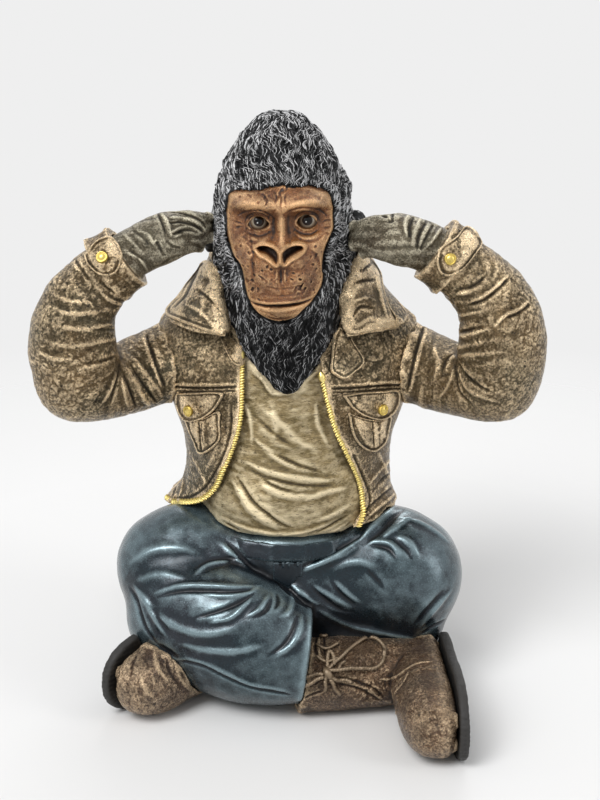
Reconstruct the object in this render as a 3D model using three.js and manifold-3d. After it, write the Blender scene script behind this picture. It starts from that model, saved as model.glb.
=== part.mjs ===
// Sitting gorilla ornament in a leather jacket, T-shirt, jeans and laced boots, with its fingers in
// its ears. Cast and painted pieces, glued together. Millimetres, +Z up, the face looks along -Y.
// The origin is on the flat underside of the seat, so the ornament stands on the plane z = 0.
import * as THREE from "three";
import { mergeVertices } from "three/addons/utils/BufferGeometryUtils.js";
import Module from "manifold-3d";

const wasm = await Module();
wasm.setup();

// Driving dimensions

const GAP = 0.3; // glue line between two castings

const SEAT_HALF_WIDTH = 64;
const SEAT_HALF_DEPTH = 53;
const SEAT_TOP = 94;
const SEAT_BACK_SHIFT = 4;
const THIGH_RADIUS = 38;
const KNEE_REACH = 65;
const KNEE_HEIGHT = 60;
const KNEE_FORWARD = 18;
const CROTCH_HEIGHT = 58;
const CROTCH_FORWARD = 16;
const SHIN_RADIUS = 38;
const SHIN_FORWARD = 62;
const HEM_RADIUS = 27;
const TROUSER_HEM_X = 10;
const FLY_HALF_WIDTH = 8;
const WAISTBAND_HEIGHT = 9;
const PATCH_THICKNESS = 1.4;

const SHIRT_HALF_WIDTH = 52;
const SHIRT_HALF_DEPTH = 47;
const SHIRT_TUCK = 4; // below the seat's top

const JACKET_WALL = 5.5;
const HEM_RISE = 4; // above the seat's top
const HEM_FLARE = 9;
const HEM_SHIFT = 4;
const WAIST_RISE = 32; // above the jacket's hem
const CHEST_RISE = 46; // above the waist
const SHOULDER_RISE = 22; // above the chest
const NECK_RISE = 28; // above the shoulders
const SHOULDER_HALF_WIDTH = 74;
const SHOULDER_HALF_DEPTH = 41;
const SIDE_SEAM_Y = 12;

const COLLAR_RISE = 9; // above the shoulders
const COLLAR_HEIGHT = 36;
const COLLAR_THICKNESS = 4;
const COLLAR_DEPTH = 24;
const COLLAR_SPREAD = 67;
const COLLAR_TOP_HALF_WIDTH = 42;
const TAB_THICKNESS = 2.6;
const TAB_LENGTH = 32;
const TAB_WIDTH = 21;

const POUCH_THICKNESS = 1.3;
const POUCH_LENGTH = 34;
const POCKET_HALF_WIDTH = 14;
const FLAP_LENGTH = 15;
const FLAP_THICKNESS = 1.4;

const ZIP_RADIUS = 1.6;
const ZIP_TEETH = 30;

const HEAD_HALF_WIDTH = 37.5;
const HEAD_HALF_DEPTH = 42;
const CHIN_RISE = 20; // above the shoulders
const JAW_HEIGHT = 38; // from the chin to the widest part of the head
const CREST_HEIGHT = 65; // from there to the top
const NECK_HALF_WIDTH = 30;
const BEARD_LENGTH = 39;
const HEAD_TILT = 1.6; // degrees, towards the ornament's right shoulder
const LOCK_HEIGHT = 2.1; // of the cast fur's locks, from hollow to tip
const LOCKS_ROUND = 15; // in each row round the head
const LOCK_ROWS = 9;
const LOCK_RINGS = 3; // rings of facets from a lock's tip to its root
const EYE_SPACING = 12.9;
const EYE_RISE = 13.5; // above the widest part of the head
const EYE_RADIUS = 4.6;
const NOSE_RISE = 1;
const MOUTH_DROP = 24;
const FACE_HEIGHT = 71;
const FACE_HALF_WIDTH = 29;
const FACE_PROUD = 1.6;
const FACE_BACK = 16;
const FACE_ROWS = 20;
const FACE_COLUMNS = 14;
const MUZZLE_FORWARD = 10;
const BROW_FORWARD = 5;
const EAR_OUT = 1.5;

const SLEEVE_RADIUS = 24;
const WRIST_RADIUS = 16.5;
const ELBOW_REACH = 41; // beyond the shoulders
const ELBOW_RISE = 2; // above the chest
const ELBOW_FORWARD = 22;
const WRIST_REACH = { right: 49.5, left: 42.5 }; // beyond the side of the head
const WRIST_DROP = { right: 10, left: 6 }; // below the widest part of the head
const WRIST_FORWARD = 21;
const FOLD_DEPTH = 0.9;
const CUFF_LENGTH = 14;
const CUFF_THICKNESS = 1.8;
const CUFF_TAB_RADIUS = 9;
const CUFF_TAB_THICKNESS = 1.5;
const BUTTON_RADIUS = 3.1;
const BUTTON_HEIGHT = 1.8;
const FINGER_RADIUS = 4.3;
const FINGER_SPACING = 6.2;
const PALM_HALF = 14;
const HAND_HALF_THICKNESS = 8.5;

const BOOT_LENGTH = 88;
const BOOT_HALF_WIDTH = 20;
const SOLE_THICKNESS = 5;
const SHAFT_RADIUS = 20.5;
const SHAFT_HEIGHT = 86;
const REAR_SHAFT_HEIGHT = 40;
const LACE_RADIUS = 1.3;
const LACE_ROWS = 3;
const LACE_HALF_WIDTH = 7;

const PLUG_RADIUS = 13;
const PLUG_DEPTH = 5;
const PLUG_BACK = 27;

// Heights that follow from them, from the seat to the crest

const SHIRT_BOTTOM = SEAT_TOP - SHIRT_TUCK;
const JACKET_HEM = SEAT_TOP + HEM_RISE;
const WAIST_HEIGHT = JACKET_HEM + WAIST_RISE;
const CHEST_HEIGHT = WAIST_HEIGHT + CHEST_RISE;
const SHOULDER_HEIGHT = CHEST_HEIGHT + SHOULDER_RISE;
const NECK_HEIGHT = SHOULDER_HEIGHT + NECK_RISE;
const COLLAR_BOTTOM = SHOULDER_HEIGHT + COLLAR_RISE;
const COLLAR_TOP = COLLAR_BOTTOM + COLLAR_HEIGHT;
const CHIN_HEIGHT = SHOULDER_HEIGHT + CHIN_RISE;
const BEARD_TIP_HEIGHT = CHIN_HEIGHT - BEARD_LENGTH;
const HEAD_MIDDLE = CHIN_HEIGHT + JAW_HEIGHT;
const EYE_HEIGHT = HEAD_MIDDLE + EYE_RISE;
const NOSE_HEIGHT = HEAD_MIDDLE + NOSE_RISE;
const MOUTH_HEIGHT = HEAD_MIDDLE - MOUTH_DROP;
const ELBOW_X = SHOULDER_HALF_WIDTH + ELBOW_REACH;
const ELBOW_HEIGHT = CHEST_HEIGHT + ELBOW_RISE;
const SIDES = { right: -1, left: 1 };
const sideName = (side) => (side < 0 ? "right" : "left");

// Finishes

const paint = (color, roughness, metalness) =>
  new THREE.MeshStandardMaterial({ color, roughness, metalness });
const FUR = paint(0x1b1c20, 0.5, 0.3);
const SKIN = paint(0x93522a, 0.35, 0.55);
const EYE = paint(0x17110d, 0.08, 0.0);
const LEATHER = paint(0x6f5a43, 0.36, 0.65);
const SHIRT = paint(0x8f7d55, 0.38, 0.7);
const DENIM = paint(0x22323c, 0.32, 0.55);
const BRASS = paint(0xc9b24a, 0.28, 0.9);
const GLOVE = paint(0x57513f, 0.34, 0.65);
const BOOT = paint(0x63493a, 0.36, 0.6);
const LACE = paint(0x4a3a30, 0.45, 0.5);
const SOLE = paint(0x1f1e1f, 0.5, 0.3);
const RESIN = paint(0x2a2724, 0.7, 0.0);

// Solids

const DOME_STEPS = 3;
const UPRIGHT = new THREE.Vector3(0, 0, 1);
const ACROSS_ARM = new THREE.Vector3(0, 1, 0);

// A closed geometry as a solid for cutting and joining.
function solid(geometry) {
  const plain = geometry.clone();
  for (const name of ["normal", "uv"]) plain.deleteAttribute(name);
  const merged = mergeVertices(plain, 1e-4);
  return new wasm.Manifold(
    new wasm.Mesh({
      numProp: 3,
      vertProperties: merged.attributes.position.array,
      triVerts: new Uint32Array(merged.index.array),
    }),
  );
}

function geometryOf(shape) {
  const { vertProperties, triVerts } = shape.getMesh();
  const geometry = new THREE.BufferGeometry();
  geometry.setAttribute("position", new THREE.BufferAttribute(new Float32Array(vertProperties), 3));
  geometry.setIndex(new THREE.BufferAttribute(new Uint32Array(triVerts), 1));
  return geometry;
}

const join = (shapes) => shapes.reduce((all, shape) => all.add(shape));
const cut = (shape, ...tools) => tools.reduce((left, tool) => left.subtract(tool), shape);

// The largest body of a shape: a cut can leave crumbs behind.
function largest(shape) {
  return shape.decompose().sort((a, b) => b.volume() - a.volume())[0];
}

const figure = new THREE.Group();

function add(name, shape, material) {
  const geometry = geometryOf(largest(shape)).toNonIndexed();
  geometry.computeVertexNormals();
  const mesh = new THREE.Mesh(geometry, material);
  mesh.name = name;
  figure.add(mesh);
}

// A closed tube through stations [x, y, z, half-width, half-depth]. The half-width lies along
// `across` and the half-depth square to it. `grow` moves the whole surface out, `round` gives each
// end's dome as a share of its half-depth, and `relief` returns extra height at (along, angle).
// A `level` tube keeps its sections horizontal.
function loft(stations, options = {}) {
  const { sides = 20, rings = 14, grow = 0, round = [0.6, 0.6] } = options;
  const { across = new THREE.Vector3(1, 0, 0), square = 2, relief = () => 0 } = options;
  const { level = false } = options;
  const spine = new THREE.CatmullRomCurve3(stations.map(([x, y, z]) => new THREE.Vector3(x, y, z)));
  const girth = new THREE.CatmullRomCurve3(stations.map(([, , , a, b]) => new THREE.Vector3(a, b, 0)));
  const heading = (along) => (level ? UPRIGHT.clone() : spine.getTangent(along));
  const rows = [];
  for (let i = 0; i <= rings; i++) {
    const along = i / rings;
    rows.push({ along, shift: 0, scale: 1 });
  }
  for (let k = 1; k < DOME_STEPS; k++) {
    const lean = (k / DOME_STEPS) * (Math.PI / 2);
    if (round[0] > 0) rows.unshift({ along: 0, shift: -Math.sin(lean), scale: Math.cos(lean) });
    if (round[1] > 0) rows.push({ along: 1, shift: Math.sin(lean), scale: Math.cos(lean) });
  }
  const points = [];
  const place = ({ along, shift, scale }, angle) => {
    const end = along < 0.5 ? 0 : 1;
    const centre = spine.getPoint(along);
    const [a, b] = girth.getPoint(along).toArray();
    const ahead = heading(along);
    const side = across.clone().addScaledVector(ahead, -across.dot(ahead)).normalize();
    const up = new THREE.Vector3().crossVectors(ahead, side);
    centre.addScaledVector(ahead, shift * (round[end] * b + grow));
    const [c, s] = [Math.cos(angle), Math.sin(angle)];
    const reach = (Math.abs(c) ** square + Math.abs(s) ** square) ** (-1 / square);
    const height = grow + relief(along, angle);
    return centre
      .addScaledVector(side, scale * (a + height) * reach * c)
      .addScaledVector(up, scale * (b + height) * reach * s);
  };
  for (const row of rows)
    for (let j = 0; j < sides; j++) points.push(place(row, (2 * Math.PI * j) / sides));
  const pole = (along, sign) => {
    const flat = round[along] > 0 ? 1 : 0;
    const shift = flat ? sign : 0;
    const tip = place({ along, shift, scale: 0 }, 0);
    return flat ? tip : tip.addScaledVector(heading(along), sign * grow);
  };
  const first = points.push(pole(0, -1)) - 1;
  const last = points.push(pole(1, 1)) - 1;
  if (grow > 0)
    for (const [along, row, sign] of [[0, 0, -1], [1, rows.length - 1, 1]])
      if (!(round[along] > 0))
        for (let j = 0; j < sides; j++)
          points[row * sides + j].addScaledVector(heading(along), sign * grow);
  const index = [];
  for (let i = 0; i + 1 < rows.length; i++)
    for (let j = 0; j < sides; j++) {
      const [p, q] = [i * sides + j, i * sides + ((j + 1) % sides)];
      index.push(p, q, q + sides, p, q + sides, p + sides);
    }
  const lastRing = (rows.length - 1) * sides;
  for (let j = 0; j < sides; j++) {
    const next = (j + 1) % sides;
    index.push(first, next, j, last, lastRing + j, lastRing + next);
  }
  const geometry = new THREE.BufferGeometry().setFromPoints(points);
  geometry.setIndex(index);
  return geometry;
}

const tube = (stations, options) => solid(loft(stations, options));

// An outline drawn in the front view, x to the right and z up, pushed from `back` to `front`.
function frontPrism(shape, back, front) {
  const geometry = new THREE.ExtrudeGeometry(shape, {
    depth: back - front,
    bevelEnabled: false,
    curveSegments: 8,
  });
  return solid(geometry.rotateX(Math.PI / 2).translate(0, back, 0));
}

// An upright cylinder on the seat's plug axis.
function cylinder(radius, bottom, top) {
  const geometry = new THREE.CylinderGeometry(radius, radius, top - bottom, 24);
  return solid(geometry.rotateX(Math.PI / 2).translate(0, PLUG_BACK, (bottom + top) / 2));
}

function block(low, high) {
  const size = high.map((v, i) => v - low[i]);
  const geometry = new THREE.BoxGeometry(...size);
  return solid(geometry.translate(...low.map((v, i) => v + size[i] / 2)));
}

const FAR = 400;
const floor = block([-FAR, -FAR, -FAR], [FAR, FAR, 0]);
const mirrorStations = (side, stations) => stations.map(([x, ...rest]) => [side * x, ...rest]);

// Where a ray meets a solid's surface, with the surface's normal.
function surfaceOf(shape) {
  const mesh = new THREE.Mesh(
    geometryOf(shape),
    new THREE.MeshBasicMaterial({ side: THREE.DoubleSide }),
  );
  mesh.geometry.computeVertexNormals();
  const ray = new THREE.Raycaster();
  return (from, towards) => {
    ray.set(from, towards.clone().normalize());
    const hit = ray.intersectObject(mesh)[0];
    return hit && { point: hit.point, normal: hit.face.normal.clone() };
  };
}

// Torso

const VERTICAL = { sides: 18, rings: 8, across: new THREE.Vector3(1, 0, 0), level: true };

function shirtForm(grow = 0) {
  const [w, d] = [SHIRT_HALF_WIDTH, SHIRT_HALF_DEPTH];
  return tube(
    [
      [0, 2, SHIRT_BOTTOM, w * 0.86, d * 0.88],
      [0, 0, SHIRT_BOTTOM + 10, w * 0.98, d * 1.03],
      [0, 1, SHIRT_BOTTOM + 26, w, d * 1.04],
      [0, 3, WAIST_HEIGHT, w * 0.97, d],
      [0, 5, (WAIST_HEIGHT + CHEST_HEIGHT) / 2, w * 1.02, d * 0.96],
      [0, 6, CHEST_HEIGHT + 2, w * 1.1, d * 0.9],
      [0, 8, SHOULDER_HEIGHT, w * 1.06, d * 0.78],
      [0, 9, SHOULDER_HEIGHT + 10, w * 0.8, d * 0.62],
    ],
    { ...VERTICAL, grow, round: [0.1, 0.1] },
  );
}

function jacketForm(grow = 0) {
  const [w, d] = [SHIRT_HALF_WIDTH + JACKET_WALL, SHIRT_HALF_DEPTH + JACKET_WALL];
  return tube(
    [
      [-HEM_SHIFT, 5, JACKET_HEM, w + HEM_FLARE, d + 2],
      [-HEM_SHIFT * 0.2, 4, JACKET_HEM + 12, w + HEM_FLARE * 0.15, d],
      [0, 4, WAIST_HEIGHT, w - 0.5, d - 1],
      [0, 5, (WAIST_HEIGHT + CHEST_HEIGHT) / 2, w + 6, d - 2],
      [0, 6, CHEST_HEIGHT, SHOULDER_HALF_WIDTH - 4, d - 5],
      [0, 8, SHOULDER_HEIGHT, SHOULDER_HALF_WIDTH, SHOULDER_HALF_DEPTH],
      [0, 10, SHOULDER_HEIGHT + 11, SHOULDER_HALF_WIDTH * 0.9, SHOULDER_HALF_DEPTH * 0.88],
      [0, 11, NECK_HEIGHT - 7, SHOULDER_HALF_WIDTH * 0.68, SHOULDER_HALF_DEPTH * 0.76],
      [0, 11, NECK_HEIGHT, SHOULDER_HALF_WIDTH * 0.48, SHOULDER_HALF_DEPTH * 0.66],
    ],
    { ...VERTICAL, sides: 20, rings: 10, grow, round: [0, 0.05] },
  );
}

// The front edges of the open jacket, from the neck down to the hem: shares of the shoulders'
// half-width, and of the height from the hem to the neck.
const edgeOf = (shares) =>
  shares.map(([out, up]) => [
    out * SHOULDER_HALF_WIDTH,
    JACKET_HEM + up * (NECK_HEIGHT - JACKET_HEM),
  ]);
const OPENING_RIGHT = edgeOf([
  [-0.34, 1.09],
  [-0.34, 0.81],
  [-0.34, 0.61],
  [-0.365, 0.453],
  [-0.473, 0.266],
  [-0.54, 0.164],
  [-0.635, 0.102],
  [-0.77, 0.051],
  [-1, 0.016],
]);
const OPENING_LEFT = edgeOf([
  [0.2, 1.09],
  [0.23, 0.766],
  [0.284, 0.61],
  [0.351, 0.461],
  [0.446, 0.336],
  [0.54, 0.188],
  [0.554, 0.078],
  [0.473, 0],
]);

function openingShape() {
  const curve = (points) => new THREE.SplineCurve(points.map(([x, z]) => new THREE.Vector2(x, z)));
  const right = curve(OPENING_RIGHT).getPoints(28);
  const left = curve(OPENING_LEFT).getPoints(28);
  const below = JACKET_HEM - 20;
  return new THREE.Shape([
    ...right,
    new THREE.Vector2(right.at(-1).x, below),
    new THREE.Vector2(left.at(-1).x, below),
    ...left.reverse(),
  ]);
}

// Legs: -1 is the ornament's right leg, whose shin crosses in front

function seatForm(grow = 0) {
  const [w, d, y] = [SEAT_HALF_WIDTH, SEAT_HALF_DEPTH, SEAT_BACK_SHIFT];
  return tube(
    [
      [0, y + 2, 0, w * 0.92, d * 0.9],
      [0, y, 16, w, d],
      [0, y, 40, w, d],
      [0, y - 2, SEAT_TOP - 30, w * 0.9, d * 0.95],
      [0, y - 4, SEAT_TOP - 10, w * 0.78, d * 0.92],
      [0, y - 4, SEAT_TOP, w * 0.72, d * 0.84],
    ],
    { ...VERTICAL, rings: 6, grow, round: [0, 0.1] },
  );
}

function thighForm(side, grow = 0) {
  const [r, x, z] = [THIGH_RADIUS - (side < 0 ? 2 : 0), KNEE_REACH, KNEE_HEIGHT + (side < 0 ? 4 : 0)];
  const stations = [
    [x * 0.08, -CROTCH_FORWARD, CROTCH_HEIGHT, r - 2, r],
    [x * 0.57, -KNEE_FORWARD + 4, z + 1, r + 1, r],
    [x * 0.87, -KNEE_FORWARD + 1, z + 2, r + 1.5, r - 1],
    [x, -KNEE_FORWARD, z, r, r - 2],
  ];
  const options = { sides: 14, rings: 4, grow, round: [0.4, 0.95], across: UPRIGHT };
  return tube(mirrorStations(side, stations), options);
}

function frontShinForm(grow = 0) {
  const r = SHIN_RADIUS;
  return tube(
    [
      [-KNEE_REACH + 2, -KNEE_FORWARD - 10, r + 12, r, r - 4],
      [-KNEE_REACH * 0.63, -SHIN_FORWARD + 18, r + 5, r + 2, r - 4],
      [-KNEE_REACH * 0.27, -SHIN_FORWARD + 6, r, r - 1, r - 7],
      [TROUSER_HEM_X - 8, -SHIN_FORWARD, HEM_RADIUS + 7, HEM_RADIUS + 3, HEM_RADIUS],
      [TROUSER_HEM_X, -SHIN_FORWARD, HEM_RADIUS + 6, HEM_RADIUS, HEM_RADIUS - 2],
    ],
    { sides: 14, rings: 6, grow, round: [0.7, 0.06], across: UPRIGHT },
  );
}

function rearShinForm(grow = 0) {
  const r = HEM_RADIUS - 4;
  return tube(
    [
      [KNEE_REACH, -KNEE_FORWARD + 2, KNEE_HEIGHT - 20, r + 8, r + 8],
      [KNEE_REACH * 0.62, -KNEE_FORWARD - 8, r + 8, r + 3, r + 3],
      [8, -KNEE_FORWARD - 8, r, r, r],
      [-38, -KNEE_FORWARD - 10, r - 1, r - 2, r - 2],
    ],
    { sides: 12, rings: 4, grow, round: [0.7, 0.4], across: UPRIGHT },
  );
}

// Boots, made upright with the toe along +X and the sole on z = 0, then laid on their sides

function bootUpper(shaftTop, grow = 0) {
  const [w, half] = [BOOT_HALF_WIDTH, BOOT_LENGTH / 2];
  const across = new THREE.Vector3(0, 1, 0);
  const foot = tube(
    [
      [-half * 0.5, 0, 17, w * 0.8, 15],
      [-half * 0.1, 0, 19, w * 0.86, 17],
      [half * 0.4, 0, 18.5, w * 0.92, 17],
      [half * 0.85, 0, 18, w, 16.5],
      [half * 1.15, 0, 17, w * 0.86, 15],
    ],
    { sides: 12, rings: 6, grow, round: [0.7, 0.85], across, square: 2.3 },
  );
  const shaft = tube(
    [
      [-half * 0.28, 0, 12, SHAFT_RADIUS * 0.8, SHAFT_RADIUS * 0.76],
      [-half * 0.26, 0, 34, SHAFT_RADIUS * 0.94, SHAFT_RADIUS * 0.96],
      [-half * 0.24, 0, shaftTop * 0.72, SHAFT_RADIUS, SHAFT_RADIUS],
      [-half * 0.2, 0, shaftTop, SHAFT_RADIUS, SHAFT_RADIUS],
    ],
    { sides: 12, rings: 3, grow, round: [0.3, 0.1], across },
  );
  return foot.add(shaft);
}

function bootSole() {
  const [w, half] = [BOOT_HALF_WIDTH + 1, BOOT_LENGTH / 2];
  const outline = new THREE.Shape();
  outline.moveTo(-half * 0.86, 0);
  outline.bezierCurveTo(-half * 0.86, w * 1.1, -half * 0.1, w * 0.8, half * 0.3, w * 0.92);
  outline.bezierCurveTo(half * 0.8, w * 1.2, half * 1.47, w * 1.1, half * 1.47, 0);
  outline.bezierCurveTo(half * 1.47, -w * 1.1, half * 0.8, -w * 1.2, half * 0.3, -w * 0.92);
  outline.bezierCurveTo(-half * 0.1, -w * 0.8, -half * 0.86, -w * 1.1, -half * 0.86, 0);
  const welt = new THREE.ExtrudeGeometry(outline, {
    depth: SOLE_THICKNESS - 2,
    bevelThickness: 1,
    bevelSize: 0.8,
    bevelOffset: -0.8,
    bevelSegments: 1,
    curveSegments: 9,
  });
  return solid(welt.translate(0, 0, 1));
}

const UPPER_BOTTOM = SOLE_THICKNESS + GAP;
const upperOnly = block([-FAR, -FAR, UPPER_BOTTOM], [FAR, FAR, FAR]);

// Laces over the instep: crossed rows, a knot, two bow loops and two tails, as one cord.
const INSTEP_LOW = new THREE.Vector3(BOOT_LENGTH * 0.24, 0, BOOT_HALF_WIDTH * 0.6);
const INSTEP_HIGH = new THREE.Vector3(-SHAFT_RADIUS * 0.24, 0, SHAFT_HEIGHT * 0.85);
const FIRST_ROW = 0.14; // share of the way up the instep
const KNOT = { along: 0.93, aside: LACE_HALF_WIDTH };
// Places on the instep: share of the way up, and how far aside in cord rows' half-widths.
const BOW_LOOPS = [
  [
    [0.72, 2],
    [0.58, 2.4],
    [0.42, 2.2],
    [0.47, 1.3],
    [0.7, 0.7],
  ],
  [
    [0.99, -0.2],
    [1, -1.2],
    [0.94, -1.5],
    [0.9, -0.3],
  ],
];
const TAILS = [
  [
    [0.81, -0.3],
    [0.65, -1.4],
  ],
  [
    [0.96, 1.8],
    [0.99, 2.2],
  ],
];

function bootLaces(upper) {
  const hit = surfaceOf(upper);
  const outward = new THREE.Vector3(0.78, 0, 0.62);
  const onInstep = (along, aside) => {
    const start = INSTEP_LOW.clone().lerp(INSTEP_HIGH, along).setY(aside);
    const { point } = hit(start.addScaledVector(outward, BOOT_LENGTH), outward.clone().negate());
    return point.addScaledVector(outward, LACE_RADIUS + 4 * GAP);
  };
  const section = new THREE.Shape().absarc(0, 0, LACE_RADIUS, 0, 2 * Math.PI);
  const strand = (places) => {
    const route = new THREE.SplineCurve(places.map(([along, aside]) => new THREE.Vector2(along, aside)));
    const steps = 2 * places.length - 2;
    const points = route.getPoints(steps).map(({ x: along, y: aside }) => onInstep(along, aside));
    const extrudePath = new THREE.CatmullRomCurve3(points);
    return solid(new THREE.ExtrudeGeometry(section, { extrudePath, steps, curveSegments: 2 }));
  };
  const knot = [KNOT.along, KNOT.aside];
  const ball = new THREE.SphereGeometry(LACE_RADIUS * 2.2, 7, 5);
  const pieces = [solid(ball.translate(...onInstep(...knot).toArray()))];
  const step = (KNOT.along - FIRST_ROW) / LACE_ROWS;
  for (let row = 0; row < LACE_ROWS; row++) {
    const from = FIRST_ROW + row * step;
    for (const side of [-1, 1])
      pieces.push(
        strand([
          [from, -side * LACE_HALF_WIDTH + KNOT.aside],
          [from + step / 2, KNOT.aside],
          [from + step, side * LACE_HALF_WIDTH + KNOT.aside],
        ]),
      );
  }
  const scaled = (places) => places.map(([along, aside]) => [along, aside * LACE_HALF_WIDTH]);
  for (const loop of BOW_LOOPS) pieces.push(strand([knot, ...scaled(loop), knot]));
  for (const tail of TAILS) pieces.push(strand([knot, ...scaled(tail)]));
  return join(pieces);
}

// Where a boot lies: its sole faces outwards, its toe forwards, its width stands upright.
function bootPlace(heel, toe) {
  const ahead = new THREE.Vector3(...toe).normalize();
  const shaft = new THREE.Vector3().crossVectors(ahead, UPRIGHT);
  return new THREE.Matrix4().makeBasis(ahead, UPRIGHT, shaft).setPosition(...heel);
}
const BOOT_PLACES = {
  right: bootPlace([KNEE_REACH + 26, -SHIN_FORWARD - 4, BOOT_HALF_WIDTH], [0.05, -1, 0]),
  left: bootPlace([5 - KNEE_REACH, -KNEE_FORWARD - 5, BOOT_HALF_WIDTH], [-0.65, -0.76, 0]),
};
const MIRROR_BOOT = new THREE.Matrix4().makeScale(1, 1, -1);

function laid(shape, foot) {
  const place = BOOT_PLACES[foot];
  const turn = foot === "left" ? place.clone().multiply(MIRROR_BOOT) : place;
  const geometry = geometryOf(shape).applyMatrix4(turn);
  if (turn.determinant() < 0) {
    const corners = geometry.index.array;
    for (let i = 0; i < corners.length; i += 3)
      [corners[i + 1], corners[i + 2]] = [corners[i + 2], corners[i + 1]];
  }
  return solid(geometry);
}

// Head

const HEAD_PIVOT = new THREE.Vector3(-1.2, 0, CHIN_HEIGHT);
const HEAD_POSE = new THREE.Matrix4()
  .makeTranslation(...HEAD_PIVOT.toArray())
  .multiply(new THREE.Matrix4().makeRotationY(THREE.MathUtils.degToRad(-HEAD_TILT)))
  .multiply(new THREE.Matrix4().makeTranslation(0, 0, -CHIN_HEIGHT));
const posed = (geometry) => solid(geometry.applyMatrix4(HEAD_POSE));

function headLoft(grow = 0, form = { sides: 18, rings: 12 }) {
  const [w, d] = [HEAD_HALF_WIDTH, HEAD_HALF_DEPTH];
  const [crest, jaw, n] = [CREST_HEIGHT, JAW_HEIGHT, NECK_HALF_WIDTH];
  return loft(
    [
      [0, -13, BEARD_TIP_HEIGHT, n * 0.3, d * 0.68],
      [0, -12, BEARD_TIP_HEIGHT + 9, n * 0.6, d * 0.72],
      [0, -10, BEARD_TIP_HEIGHT + 20, n * 0.9, d * 0.78],
      [0, -4, CHIN_HEIGHT - 4, n * 1.06, d * 0.93],
      [0, 0, HEAD_MIDDLE - jaw * 0.45, w * 0.97, d * 0.98],
      [0, 0, HEAD_MIDDLE, w, d],
      [0, 1, HEAD_MIDDLE + crest * 0.36, w * 0.93, d * 0.98],
      [0, 2, HEAD_MIDDLE + crest * 0.6, w * 0.79, d * 0.88],
      [0, 3, HEAD_MIDDLE + crest * 0.8, w * 0.6, d * 0.7],
      [0, 3, HEAD_MIDDLE + crest * 0.93, w * 0.38, d * 0.48],
    ],
    { ...form, grow, round: [0.1, 0.16], level: true },
  );
}
// Locks of fur in rows round the head: each one slopes out from its root above to a proud tip, and
// the rows are staggered by half a lock. The crown's and the beard's locks are the lowest.
function lockRelief(along, angle) {
  const place = along * LOCK_ROWS + 0.01;
  const row = Math.floor(place);
  const proud = 1 - (place - row);
  const turn = (angle / (2 * Math.PI)) * LOCKS_ROUND + row / 2;
  const ridge = 0.5 + 0.5 * Math.cos(2 * Math.PI * turn);
  const uneven = 0.8 + 0.2 * Math.sin(2.3 * row + 5 * angle);
  const ends = Math.min(1, 4 * along, 6 * (1 - along));
  return LOCK_HEIGHT * (ridge * proud * uneven - 0.3) * ends;
}
const skull = surfaceOf(solid(headLoft()));
const furForm = { sides: 2 * LOCKS_ROUND, rings: LOCK_ROWS * LOCK_RINGS, relief: lockRelief };
const headForm = (grow = 0) => posed(headLoft(grow, furForm));

// A smooth hump of height 1 at (cx, cz), fading over rx and rz. A higher power has a flatter top.
function hump(x, z, cx, cz, rx, rz, power = 2) {
  return Math.exp(-(Math.abs((x - cx) / rx) ** power + Math.abs((z - cz) / rz) ** power));
}

// How far the bare face stands forward of the fur at (x, z): brow, eye sockets, nose, muzzle, lips.
function faceRelief(x, z) {
  const a = Math.abs(x);
  let y = FACE_PROUD;
  y += MUZZLE_FORWARD * hump(a, z, 0, MOUTH_HEIGHT + 8, 20, 17, 3);
  y += 3 * hump(a, z, 0, MOUTH_HEIGHT - 5, 14, 4);
  y += BROW_FORWARD * hump(a, z, EYE_SPACING, EYE_HEIGHT + 9, 15, 5, 2.6);
  y -= 6 * hump(a, z, EYE_SPACING, EYE_HEIGHT, 6.4, 4.4);
  y += 5 * hump(a, z, 0, EYE_HEIGHT - 5, 3.8, 9);
  y += 5 * hump(a, z, 0, NOSE_HEIGHT, 13, 6.5, 3);
  y += 2.5 * hump(a, z, EYE_SPACING + 4, EYE_HEIGHT - 11, 7, 5);
  const slant = z - 0.35 * (a - 6.2);
  y -= 6 * hump(a, slant, 6.2, NOSE_HEIGHT + 0.5, 4, 2.7, 2.6);
  const lip = MOUTH_HEIGHT + 0.011 * x * x;
  y -= 2.6 * hump(a, z, 0, lip, 19, 1.5, 2.6);
  return y;
}

function faceForward(x, z) {
  const { point } = skull(new THREE.Vector3(x, -FAR, z), new THREE.Vector3(0, 1, 0));
  return -point.y + faceRelief(x, z);
}

// The outline of the bare face, from chin to brow: shares of its half-width and of its height.
const FACE_OUTLINE = new THREE.SplineCurve(
  [
    [0.1, 0],
    [0.56, 0.07],
    [0.72, 0.2],
    [0.73, 0.31],
    [0.8, 0.42],
    [0.95, 0.56],
    [1, 0.73],
    [0.98, 0.87],
    [0.86, 0.965],
    [0.5, 1],
  ].map(([out, up]) => new THREE.Vector2(out * FACE_HALF_WIDTH, CHIN_HEIGHT + up * FACE_HEIGHT)),
);

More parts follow.
